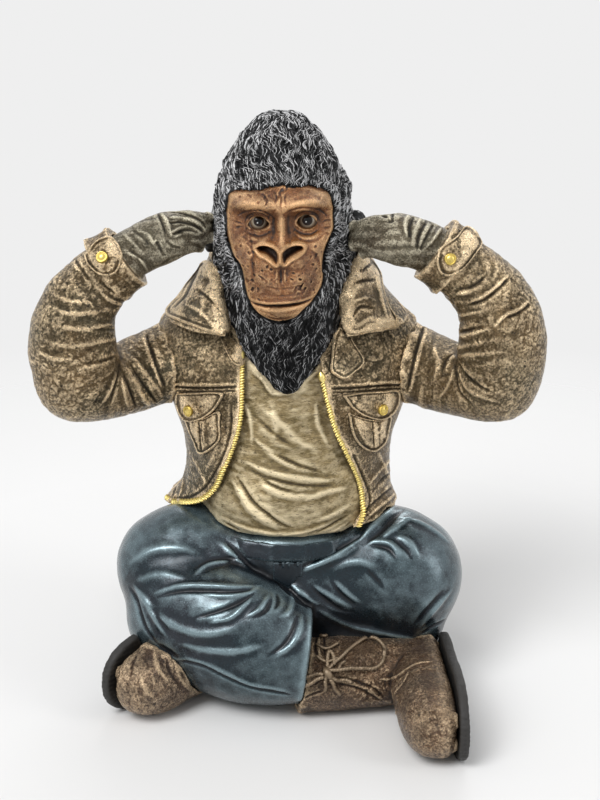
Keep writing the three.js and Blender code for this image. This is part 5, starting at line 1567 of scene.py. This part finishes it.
SLEEVE_FOLDS = {
    "right": [
        ([(116, 376), (108, 394), (102, 404)], 1.3, 1.9),
        ([(118, 373), (114, 389), (110, 404)], -1.5, 1),
        ([(121, 376), (124, 392), (128, 407)], 1.3, 1.9),
        ([(123, 372), (131, 391), (136, 407)], -1.5, 1),
        ([(126, 367), (135, 382), (143, 397), (150, 406)], 1.4, 2),
        ([(129, 362), (139, 377), (149, 392), (157, 403)], -1.5, 1),
        ([(133, 357), (144, 372), (156, 387), (163, 397)], 1.3, 2),
        ([(146, 334), (152, 352), (159, 372), (166, 389)], -1.1, 0.9),
        ([(144, 339), (149, 356), (157, 376), (163, 392)], 0.8, 1.4),
        ([(98, 288), (108, 299), (126, 306)], 0.9, 1.5),
        ([(75, 260), (90, 281)], -0.8, 0.9),
        ([(100, 280), (110, 290), (129, 296)], -1, 0.8),
        ([(53, 294), (70, 301), (93, 303)], 0.8, 1.7),
        ([(50, 306), (66, 313), (90, 313), (110, 309)], 0.7, 1.7),
        ([(45, 321), (66, 328), (93, 328), (116, 323)], 0.7, 1.8),
        ([(42, 339), (63, 346), (90, 344), (116, 339)], 0.7, 1.8),
        ([(38, 352), (55, 359), (71, 359)], 0.9, 1.5),
        ([(83, 364), (100, 362), (116, 356)], -0.9, 1.1),
    ],
    "left": [
        ([(448, 316), (463, 315), (483, 311)], 0.9, 1.3),
        ([(454, 294), (466, 293), (481, 286)], 0.8, 1.4),
        ([(456, 290), (473, 286), (489, 273)], -0.9, 1),
        ([(469, 305), (484, 300), (499, 288), (509, 278)], -1.1, 0.9),
        ([(471, 302), (484, 296), (498, 286), (506, 278)], 0.9, 1.3),
        ([(493, 328), (506, 315), (519, 309), (529, 300)], 1.1, 1.2),
        ([(506, 318), (519, 313), (531, 304)], -0.8, 0.9),
        ([(453, 334), (469, 330), (484, 326)], -0.9, 1),
        ([(454, 338), (471, 334), (489, 329)], 0.8, 1.5),
        ([(456, 348), (476, 344), (499, 339)], 0.7, 1.7),
        ([(458, 356), (479, 354), (506, 352)], 0.7, 1.8),
        ([(458, 362), (468, 377), (481, 387), (496, 394)], -1, 1.1),
        ([(457, 367), (466, 386), (483, 397), (499, 402)], 0.9, 1.8),
        ([(456, 372), (459, 391), (473, 406)], -0.9, 1.1),
        ([(454, 366), (450, 382), (440, 397)], 0.9, 1.7),
        ([(456, 352), (446, 359), (441, 376)], -0.9, 1.3),
        ([(423, 313), (424, 324), (420, 339), (413, 364), (407, 392)], -1.1, 0.9),
        ([(426, 318), (426, 329), (422, 344), (416, 367), (410, 394)], 0.8, 1.5),
        ([(433, 346), (438, 362), (433, 384)], 0.9, 1.9),
    ],
}


def make_sleeves():
    """Two crumpled leather sleeves."""
    for name, side in SIDES.items():
        skin = skin_of(f"sleeve_{name}", voxel=0.75, rounds=24, reach=6)
        tree = skin.tree()
        skin.push(0.7 * sleeve_relief(skin.v, name, 90 + side) + crinkled(skin.v, 97 + side, 0.3))
        raised(skin, SLEEVE_FOLDS[name], tree)
        piece(f"jacket_sleeve_{name}", skin.shape(3, 0.6), "leather", f"sleeve_{name}")


CUFF_TABS = {
    "right": [
        (84, 257), (90, 248), (98, 240), (107, 236), (112, 238), (117, 244), (122, 255),
        (121, 266), (115, 274), (106, 277), (97, 274), (88, 266),
    ],
    "left": [
        (435, 263), (438, 251), (446, 243), (456, 236), (463, 227), (468, 224), (477, 231),
        (484, 241), (478, 252), (464, 269), (450, 277), (440, 275),
    ],
}
CUFF_STUDS = {"right": (102.5, 258), "left": (450, 259)}


def make_cuffs():
    """The cuffs: a thick band, a closing tab and its gold stud."""
    for name, side in SIDES.items():
        cuff = f"cuff_{name}"
        band = leather_skin(cuff, voxel=0.55, rounds=14, seed=110 + side, reach=9, crisp=0.88)
        piece(f"{cuff}_band", band.shape(3, 0.9), "leather", cuff)
        tree = skin_of(cuff, f"sleeve_{name}", voxel=0.8, rounds=16, reach=9, crisp=0.88).tree()
        tab = patch(CUFF_TABS[name], tree, thick=1.3, puff=0.3, rings=16, calm=30)
        piece(f"{cuff}_tab", tab, "leather", f"cuff_tab_{name}")
        add_stud(f"{cuff}_stud", f"cuff_stud_{name}", tree, CUFF_STUDS[name], 1.5)


HAND_LINES = {
    "right": [
        ([(163, 212), (181, 213), (196, 218), (206, 225)], -1.1, 0.8),
        ([(166, 218), (181, 218), (196, 222), (206, 230)], 0.8, 1.3),
        ([(168, 223), (182, 222), (196, 226), (205, 233)], -1, 0.8),
        ([(169, 233), (184, 227), (197, 228)], 0.8, 1.2),
        ([(172, 235), (186, 230), (199, 233)], -0.8, 0.8),
        ([(161, 213), (168, 223), (171, 235)], 1, 1.2),
        ([(158, 214), (163, 225), (166, 235)], -0.7, 0.8),
        ([(141, 231), (149, 235), (154, 244), (156, 238)], 0.8, 1.1),
        ([(133, 230), (144, 238), (149, 246)], -0.6, 0.9),
        ([(119, 230), (133, 243), (143, 253)], 0.6, 1.3),
        ([(126, 246), (136, 255), (149, 263)], -0.7, 1),
        ([(156, 241), (164, 255), (166, 255)], -0.7, 0.8),
        ([(166, 240), (172, 246), (181, 248)], -0.6, 0.8),
        ([(126, 253), (139, 258), (149, 273)], 0.8, 1.2),
    ],
    "left": [
        ([(395, 199), (389, 206), (388, 222)], 1, 1.2),
        ([(398, 200), (393, 208), (392, 223)], -0.9, 0.8),
        ([(407, 200), (411, 210), (405, 223), (407, 235)], 1.1, 1.3),
        ([(415, 203), (415, 213), (410, 226), (410, 238)], -1, 0.9),
        ([(428, 208), (420, 220), (414, 235), (412, 246)], 1.1, 1.4),
        ([(433, 210), (426, 222), (419, 236), (417, 250)], -0.9, 0.9),
        ([(446, 217), (440, 230), (433, 240), (424, 250)], 1, 1.3),
        ([(440, 212), (434, 223), (426, 238), (420, 250)], -0.8, 0.8),
        ([(365, 211), (376, 208), (388, 206)], -1, 0.7),
        ([(368, 208), (378, 204), (391, 203)], -0.8, 0.7),
        ([(359, 219), (370, 214), (385, 216), (390, 223)], -0.9, 0.9),
        ([(366, 213), (378, 211), (390, 212)], 0.7, 1.3),
    ],
}


def make_hands():
    """Two hands with wrinkled backs, their fingers in the ears."""
    for name, side in SIDES.items():
        skin = skin_of(f"glove_{name}", voxel=0.5, rounds=20, reach=5, crisp=0.8)
        tree = skin.tree()
        v = skin.v
        # how far from the wrist each place is
        s = 50 * nearest_on(v, along(ARMS[name][-4:], 8))[1]
        _, y, z = v.T
        lengthwise = np.stack([0.16 * s, y * 0.8 + z * 0.3, z * 0.9 - y * 0.3], 1)
        crosswise = np.stack([s + 1.5 * noise(v, 8, 121), 0.3 * y, 0.3 * z], 1)
        near_wrist = np.clip(1 - s / 26, 0, 1)
        tendon = (np.abs(noise(lengthwise, 3.4, 122 + side)) - 0.25) * (1 - 0.6 * near_wrist)
        wrinkle = (np.abs(noise(crosswise, 4.6, 124 + side)) - 0.25) * (0.2 + near_wrist)
        skin.push(0.6 * tendon + 0.8 * wrinkle + 0.12 * layered(v, 3, 3, 7))
        raised(skin, HAND_LINES[name], tree)
        piece(f"hand_{name}", skin.shape(4, 0.65), "glove", f"glove_{name}")


# Trousers

LEG_FOLDS = [
    ([(194, 569), (210, 560), (234, 558), (244, 560)], -0.9, 1.1),
    ([(195, 574), (207, 565), (220, 562), (239, 562)], 0.9, 1.7),
    ([(155, 593), (179, 586), (208, 586), (234, 587), (258, 586)], 1.1, 1.7),
    ([(158, 597), (182, 591), (208, 591), (234, 592), (256, 590)], -0.9, 1.2),
    ([(201, 593), (225, 596), (249, 593), (260, 586)], 0.9, 1.6),
    ([(194, 618), (213, 613), (232, 606), (246, 599), (256, 591)], -1.1, 1.2),
    ([(210, 623), (230, 618), (242, 608), (252, 596)], 1.1, 1.5),
    ([(248, 616), (259, 610), (266, 600), (269, 595)], 1.1, 1.3),
    ([(254, 617), (266, 610), (272, 598)], -0.9, 1.1),
    ([(280, 617), (288, 613), (292, 603), (291, 593)], 1, 1.5),
    ([(274, 610), (278, 603), (277, 593)], -0.7, 1.2),
    ([(277, 656), (292, 644), (300, 630), (302, 615)], 1.1, 1.6),
    ([(268, 656), (285, 644), (293, 629), (297, 615)], -0.8, 1.3),
    ([(129, 586), (136, 598), (141, 615), (148, 632), (158, 644)], -1, 1.3),
    ([(134, 585), (148, 605), (157, 623), (165, 635)], 1, 2),
    ([(146, 603), (160, 620), (170, 634)], -0.6, 1.6),
    ([(179, 660), (203, 666), (227, 678), (249, 687), (273, 692), (292, 695)], -1.2, 0.8),
    ([(172, 658), (201, 663), (227, 674), (249, 684), (273, 688), (289, 691)], 0.6, 1.5),
    ([(158, 644), (179, 658)], -0.8, 1.6),
    ([(131, 562), (153, 550), (179, 548), (201, 555)], 0.9, 3.4),
    ([(136, 581), (162, 574), (186, 579)], 0.7, 3.2),
    ([(278, 572), (289, 582), (300, 592), (312, 601), (323, 606)], 1.2, 1.7),
    ([(274, 579), (286, 591), (297, 601), (310, 610)], -0.9, 1.3),
    ([(309, 584), (323, 598), (340, 610), (354, 613)], -1.2, 0.9),
    ([(314, 586), (330, 596), (350, 608)], 1, 1.4),
    ([(330, 579), (340, 593), (357, 608)], -0.9, 1),
    ([(335, 581), (347, 593), (361, 603)], 0.8, 1.5),
    ([(309, 603), (330, 617), (354, 627), (388, 634), (419, 639)], 0.9, 1.8),
    ([(366, 569), (376, 579), (384, 589)], -0.7, 1.3),
    ([(371, 545), (388, 548), (397, 560)], -0.8, 1.2),
    ([(369, 541), (388, 543), (401, 555)], 0.8, 1.7),
    ([(393, 538), (407, 550), (412, 560)], -0.8, 1.2),
    ([(397, 535), (412, 545), (419, 557)], 0.8, 1.7),
    ([(359, 541), (373, 526), (388, 512), (397, 504)], 1, 1.7),
    ([(364, 544), (381, 531), (395, 516), (405, 509)], -0.9, 1.3),
    ([(383, 538), (400, 524), (412, 516)], 0.8, 1.6),
    ([(397, 517), (419, 522), (440, 534), (450, 543)], 0.8, 2),
    ([(419, 634), (436, 625), (455, 615)], -1.2, 1.1),
    ([(420, 626), (440, 603), (451, 591)], 1, 2),
    ([(414, 624), (431, 605), (443, 591)], -0.8, 1.6),
    ([(306, 569), (325, 562), (345, 555), (359, 545)], 0.8, 2.2),
    ([(328, 572), (354, 562), (378, 567)], 0.8, 3),
    ([(225, 539), (244, 560), (254, 569), (264, 574)], -1.3, 1),
    ([(220, 542), (239, 561), (251, 572)], 0.9, 1.7),
    ([(297, 570), (316, 560), (330, 553), (359, 536)], -1.2, 1),
    ([(301, 572), (321, 563), (340, 553), (361, 539)], 0.8, 1.6),
    ([(472, 560), (482, 590), (478, 620)], 1.2, 3.6),
    ([(150, 612), (184, 630), (210, 634), (236, 628)], 0.9, 2.8),
    ([(180, 644), (206, 650), (236, 652), (262, 646)], 0.9, 2.4),
]
FLY_LINES = [
    ([(280, 548), (280.5, 568)], -0.9, 0.7),
    ([(283, 548), (283.5, 568)], 0.6, 0.7),
    ([(295, 548), (295, 567)], -0.8, 0.7),
    ([(298, 548), (298, 567)], 0.6, 0.7),
    ([(288.5, 546), (289, 569)], 0.8, 1),
]
FLY_THREADS = ([(278, 549), (278, 567)], [(299, 549), (299, 566)])


def make_trousers():
    """Old jeans: pulled folds at the knees and lap, bunched round the boots."""
    skin = skin_of("trousers", voxel=1.05, rounds=24, reach=7)
    tree = skin.tree()
    skin.push(0.5 * noise(skin.v, 30, 131) - 0.1)
    raised(skin, LEG_FOLDS, tree, wider=1.15, taller=1.3)
    skin.push(0.12 * layered(skin.v, 5, 2, 133))
    # the flat seat stays flat
    skin.v[:, 2] = np.where(skin.v[:, 2] < 0.6, 0.05, skin.v[:, 2])
    # pale brush in cloudy patches on upward-facing places: a painted highlight where the light falls from
    # above
    painted_top_light = 0.16 * np.clip(noise(skin.v, 22, 132) + 0.25, 0, 1) * np.clip(skin.normals()[:, 2], 0, 1)
    v, f, relief = skin.shape(5, 0.55)
    piece("jeans", (v, f, np.clip(relief + painted_top_light, 0, 1)), "denim", "trousers")
    skin = skin_of("trouser_waistband", voxel=0.8, rounds=12)
    skin.push(0.3 * layered(skin.v, 8, 2, 135))
    # its relief is scaled to 0.7, so the band is painted darker: painted shade under the shirt's hem
    piece("jeans_waistband", skin.shape(3, 0.6, 0.7), "denim", "trouser_waistband")
    skin = skin_of("trouser_fly", voxel=0.6, rounds=8)
    tree = skin_of("trouser_fly", "trousers", voxel=1.1, rounds=12).tree()
    raised(skin, FLY_LINES, tree)
    piece("jeans_fly", skin.shape(3, 0.9, 0.62), "denim", "trouser_fly")
    thread = Parts()
    for line in FLY_THREADS:
        stitches(thread, traced(line, tree), tree)
    piece("jeans_stitching", thread.shape(0.7), "denim")


# Boots

BOOT_FOLDS = {
    "right": [
        ([(317, 621), (319, 634), (319, 652), (323, 661)], 1.1, 1.1),
        ([(314, 622), (316, 636), (316, 652), (321, 661)], -0.9, 0.6),
        ([(321, 621), (324, 634), (325, 653), (327, 662)], -0.9, 0.6),
        ([(333, 680), (346, 682), (360, 686), (371, 691), (383, 700)], 1, 0.9),
        ([(338, 684), (350, 686), (364, 691), (379, 701)], -0.9, 0.6),
        ([(334, 678), (347, 679), (361, 683), (374, 689), (384, 698)], -0.9, 0.6),
        ([(379, 679), (390, 679), (398, 676), (408, 669), (418, 664), (429, 663), (438, 665),
          (446, 669)], 1.1, 0.9),
        ([(396, 679), (408, 672), (418, 667), (429, 666), (438, 668), (445, 672)], -0.9, 0.6),
        ([(393, 679), (392, 687), (393, 699), (392, 713)], -1.2, 0.7),
        ([(409, 671), (404, 682), (396, 692), (395, 698)], 0.8, 0.8),
        ([(407, 669), (401, 680), (394, 691)], -0.8, 0.6),
        ([(385, 680), (385, 687), (387, 692)], -0.8, 0.6),
        ([(300, 688), (312, 685), (322, 680)], -0.7, 0.6),
        ([(305, 698), (313, 694), (322, 691)], -0.8, 0.6),
    ],
    "left": [
        ([(136, 640), (122, 656), (116, 674), (120, 692)], 0.9, 1.4),
        ([(146, 646), (134, 662), (130, 680)], -0.7, 1),
        ([(154, 650), (158, 668), (170, 684)], 0.9, 1.8),
        ([(176, 664), (180, 678), (190, 690)], 0.8, 1.6),
        ([(166, 656), (170, 672), (180, 686)], -0.7, 1),
        ([(140, 676), (146, 690), (156, 700)], 0.7, 1.8),
    ],
}
BOOT_THREADS = [
    [(396, 682), (408, 675), (419, 670), (429, 669), (438, 671)],
    [(398, 682), (397, 692), (398, 701), (396, 714)],
    [(319, 622), (321.5, 635), (322, 652)],
]


def swell_toe(skin, name):
    """Lets the toe of a boot swell out over its sole."""
    sole, _ = node_arrays(f"boot_{name}_sole")
    level = np.linalg.svd(sole - sole.mean(0), full_matrices=False)[2][2]
    above = np.abs((skin.v - sole.mean(0)) @ level)
    n = skin.normals()
    sideways = n - (n @ level)[:, None] * level
    skin.v += sideways * (1.8 * smooth((18 - above) / 12))[:, None]


def make_boots():
    """Two worn boots with cracked leather, toe caps, welts and cleated soles."""
    thread = Parts()
    for name, voxel, seed in (("right", 0.7, 154), ("left", 0.85, 146)):
        upper, sole = f"boot_{name}_upper", f"boot_{name}_sole"
        skin = leather_skin(upper, voxel=voxel, rounds=18, seed=seed, reach=6, deep=0.2)
        tree = skin.tree()
        swell_toe(skin, name)
        raised(skin, BOOT_FOLDS[name], tree)
        if name == "right":
            # a cracked patch over the instep
            px, py = picture_place(skin.v)
            cracked = smooth(2 - 2 * np.hypot((px - 370) / 20, (py - 687) / 20))
            skin.push(cracked * crinkled(skin.v * 1.5, 149, 0.7))
        skin.v[:, 2] = np.maximum(skin.v[:, 2], 0.02)
        piece(f"boot_{name}_leather", skin.shape(3, 0.6), "boot", upper)
        if name == "right":
            final = skin.tree()
            for line in BOOT_THREADS:
                stitches(thread, traced(line, final), final)
        skin = skin_of(sole, voxel=0.75, rounds=8)
        side = np.abs(skin.normals()[:, 2]) < 0.5
        skin.push(0.08 * side * np.sin(skin.v[:, 2] * 2.4) + 0.18 * layered(skin.v, 5, 3, 151))
        skin.v[:, 2] = np.maximum(skin.v[:, 2], 0.02)
        piece(f"boot_{name}_tread", skin.shape(3, 0.9), "sole", sole)
    piece("boot_stitching", thread.shape(), "boot")


LACE_LINES = [
    [(327, 672), (333, 664), (339, 659), (350, 649), (361, 641), (366, 639)],
    [(370, 639), (376, 640), (381, 644), (384, 650), (383, 660), (379, 666), (372, 669),
     (364, 669), (357, 667), (346, 669), (337, 670), (328, 672)],
    [(327, 669), (327, 660), (328, 653), (330, 652), (333, 656), (334, 663), (334, 666)],
    [(324, 675), (317, 674), (310, 676), (302, 683), (298, 687)],
    [(324, 676), (315, 680), (307, 685), (300, 689)],
    [(326, 675), (325, 683), (324, 692)],
    [(328, 677), (334, 685), (340, 694)],
    [(326, 675), (333, 679), (344, 681), (352, 683)],
    [(338, 670), (342, 664), (346, 663)],
    [(316, 656), (326, 662), (338, 658)],
    [(316, 645), (326, 650), (338, 644)],
    [(314, 634), (324, 638), (334, 632)],
]
KNOT = [(322, 672), (327, 674), (332, 677)]


def make_laces():
    """The boot lace: a twisted cord in a bow with two loops and two loose tails."""
    tree = skin_of("boot_right_upper", "boot_right_laces", voxel=0.9, rounds=14).tree()
    radius = bpy.context.scene.ornament_sizes.lace_radius / MM
    parts = Parts()
    for k, line in enumerate(LACE_LINES):
        course = calmed(traced(line, tree, step=0.5, lift=0.9 + 0.15 * (k % 3)), 10)
        rope(parts, course, radius if k < 8 else radius * 0.8, sides=14, twist=0.9, swell=0.16)
    knot = traced(KNOT, tree, step=0.5, lift=1.8)
    rope(parts, knot, np.interp(np.linspace(0, 1, len(knot)), [0, 0.5, 1], [1.2, 2.2, 1.2]), sides=14)
    piece("boot_lace", parts.shape(), "lace", "boot_right_laces")


def make_plug():
    """The plug in the pour hole keeps its own solid and takes a resin finish."""
    plug = NODES["pour_hole_plug"]
    plug.data.materials.clear()
    plug.data.materials.append(paint("resin"))


# Stage

FLOOR_RADIUS = 1.1
FLOOR_SIDES = 64
FLOOR_GREY = 0.765
SENSOR_HEIGHT = 36.0
# name, place, aim, size and watts of the soft lamps
LAMPS = [
    ("window_light", (-1.3, -1.5, 1.9), (0, 0, 0.16), (1.1, 1.1), 23.0),
    ("side_light", (1.7, -0.7, 0.9), (0, 0, 0.15), (0.6, 1.4), 8.0),
    ("back_light", (0.3, 1.6, 1.3), (0, 0, 0.2), (1.2, 0.6), 10.5),
]


def make_floor():
    """A pale floor that fades out at its edge."""
    turn = np.arange(FLOOR_SIDES) * 2 * math.pi / FLOOR_SIDES
    rim = [(FLOOR_RADIUS * math.cos(a), FLOOR_RADIUS * math.sin(a), 0) for a in turn]
    mesh = bpy.data.meshes.new("floor")
    faces = [(0, 1 + k, 1 + (k + 1) % FLOOR_SIDES) for k in range(FLOOR_SIDES)]
    mesh.from_pydata([(0, 0, 0), *rim], [], faces)
    floor = bpy.data.objects.new("floor", mesh)
    bpy.context.scene.collection.objects.link(floor)
    material = bpy.data.materials.new("floor_paper")
    material.use_nodes = True
    tree = material.node_tree
    tree.nodes.clear()
    grey = (FLOOR_GREY, FLOOR_GREY, FLOOR_GREY, 1)
    place = node_of(tree, "ShaderNodeTexCoord", -700, 0)
    far = node_of(tree, "ShaderNodeVectorMath", -500, 0, operation="LENGTH")
    mix = node_of(tree, "ShaderNodeMixShader", 400, 0)
    for source, socket in (
        (place.outputs["Object"], far.inputs[0]),
        (ramp(tree, -300, 0, far.outputs["Value"], (0.30, 0.0), (0.62, 1.0)), mix.inputs[0]),
        (node_of(tree, "ShaderNodeBsdfDiffuse", 100, 100, Color=grey).outputs[0], mix.inputs[1]),
        (node_of(tree, "ShaderNodeBsdfTransparent", 100, -100).outputs[0], mix.inputs[2]),
        (mix.outputs[0], node_of(tree, "ShaderNodeOutputMaterial", 600, 0).inputs[0]),
    ):
        tree.links.new(source, socket)
    mesh.materials.append(material)


def make_world():
    """Soft light from all round, pale to the camera, in reflections and through clear edges."""
    scene = bpy.context.scene
    world = bpy.data.worlds.new("studio")
    scene.world = world
    world.use_nodes = True
    tree = world.node_tree
    tree.nodes.clear()
    backdrop = (*scene.ornament_colours.backdrop, 1)
    rays = node_of(tree, "ShaderNodeLightPath", -200, 200).outputs
    seen = worked(tree, 0, 250, "MAXIMUM", rays["Is Camera Ray"], rays["Is Transmission Ray"])
    seen = worked(tree, 200, 250, "MAXIMUM", seen, rays["Is Glossy Ray"])
    dim = node_of(tree, "ShaderNodeBackground", 100, 0, Strength=0.5, Color=(1, 1, 1, 1))
    pale = node_of(tree, "ShaderNodeBackground", 100, -150, Strength=1.0, Color=backdrop)
    mix = node_of(tree, "ShaderNodeMixShader", 400, 0)
    for source, socket in zip((seen, dim.outputs[0], pale.outputs[0]), mix.inputs):
        tree.links.new(source, socket)
    out = node_of(tree, "ShaderNodeOutputWorld", 600, 0)
    tree.links.new(mix.outputs[0], out.inputs[0])


def add_light(name, kind, place, aim, energy):
    """A lamp of the studio, turned to its aim. Gives the lamp's settings."""
    settings = bpy.data.lights.new(name, kind)
    settings.energy = energy
    lamp = bpy.data.objects.new(name, settings)
    bpy.context.scene.collection.objects.link(lamp)
    lamp.location = place
    lamp.rotation_euler = (Vector(aim) - Vector(place)).to_track_quat("-Z", "Y").to_euler()
    return settings


def make_stage():
    """A pale floor that fades into a pale studio, soft lights and the camera."""
    scene = bpy.context.scene
    scene.view_settings.view_transform = "Standard"
    make_floor()
    make_world()
    add_light("key_light", "SUN", (-0.5, -0.72, 1.3), (0, 0, 0), 1.32).angle = math.radians(30)
    for name, place, aim, size, watts in LAMPS:
        settings = add_light(name, "AREA", place, aim, watts)
        settings.shape = "RECTANGLE"
        settings.size, settings.size_y = size
    camera = bpy.data.cameras.new("camera")
    camera.sensor_fit = "VERTICAL"
    camera.sensor_height = SENSOR_HEIGHT
    camera.lens = FOCAL / PICTURE_HEIGHT * SENSOR_HEIGHT
    camera.clip_end = 20
    eye = bpy.data.objects.new("camera", camera)
    scene.collection.objects.link(eye)
    eye.location = Vector(EYE) * MM
    eye.rotation_euler = (math.pi / 2 - EYE_ELEVATION, 0, 0)
    scene.camera = eye


# Operators and panel


def operator(make):
    """An operator that makes one piece or a group of like pieces."""

    def execute(self, context):
        make()
        return {"FINISHED"}

    key = make.__name__
    label = key.replace("_", " ").capitalize()
    entries = {"bl_idname": f"ornament.{key}", "bl_label": label, "execute": execute}
    return type(f"ORNAMENT_OT_{key}", (bpy.types.Operator,), {**entries, "__doc__": make.__doc__})


OPERATORS = [
    operator(make)
    for make in (
        make_head, make_face, make_eyes, make_ears, make_shirt, make_jacket, make_collar,
        make_pockets, make_zips, make_sleeves, make_cuffs, make_hands, make_trousers, make_boots,
        make_laces, make_plug, make_stage,
    )
]


class ORNAMENT_PT_panel(bpy.types.Panel):
    """The sizes, the colours and the pieces of the ornament"""

    bl_idname = "ORNAMENT_PT_panel"
    bl_label = "Gorilla ornament"
    bl_space_type = "VIEW_3D"
    bl_region_type = "UI"
    bl_category = "Ornament"

    def draw(self, context):
        for group in (context.scene.ornament_sizes, context.scene.ornament_colours):
            box = self.layout.box()
            for key in group.__annotations__:
                box.prop(group, key)
        for made in OPERATORS:
            self.layout.operator(made.bl_idname)


CLASSES = [OrnamentSizes, OrnamentColours, *OPERATORS, ORNAMENT_PT_panel]


def register():
    for made in CLASSES:
        bpy.utils.register_class(made)
    bpy.types.Scene.ornament_sizes = PointerProperty(type=OrnamentSizes)
    bpy.types.Scene.ornament_colours = PointerProperty(type=OrnamentColours)


def unregister():
    del bpy.types.Scene.ornament_sizes
    del bpy.types.Scene.ornament_colours
    for made in reversed(CLASSES):
        bpy.utils.unregister_class(made)


def main():
    """Makes every piece, then writes the boxes of the solids and of the pieces."""
    register()
    for made in OPERATORS:
        group, key = made.bl_idname.split(".")
        getattr(getattr(bpy.ops, group), key)()


if __name__ == "__main__":
    main()
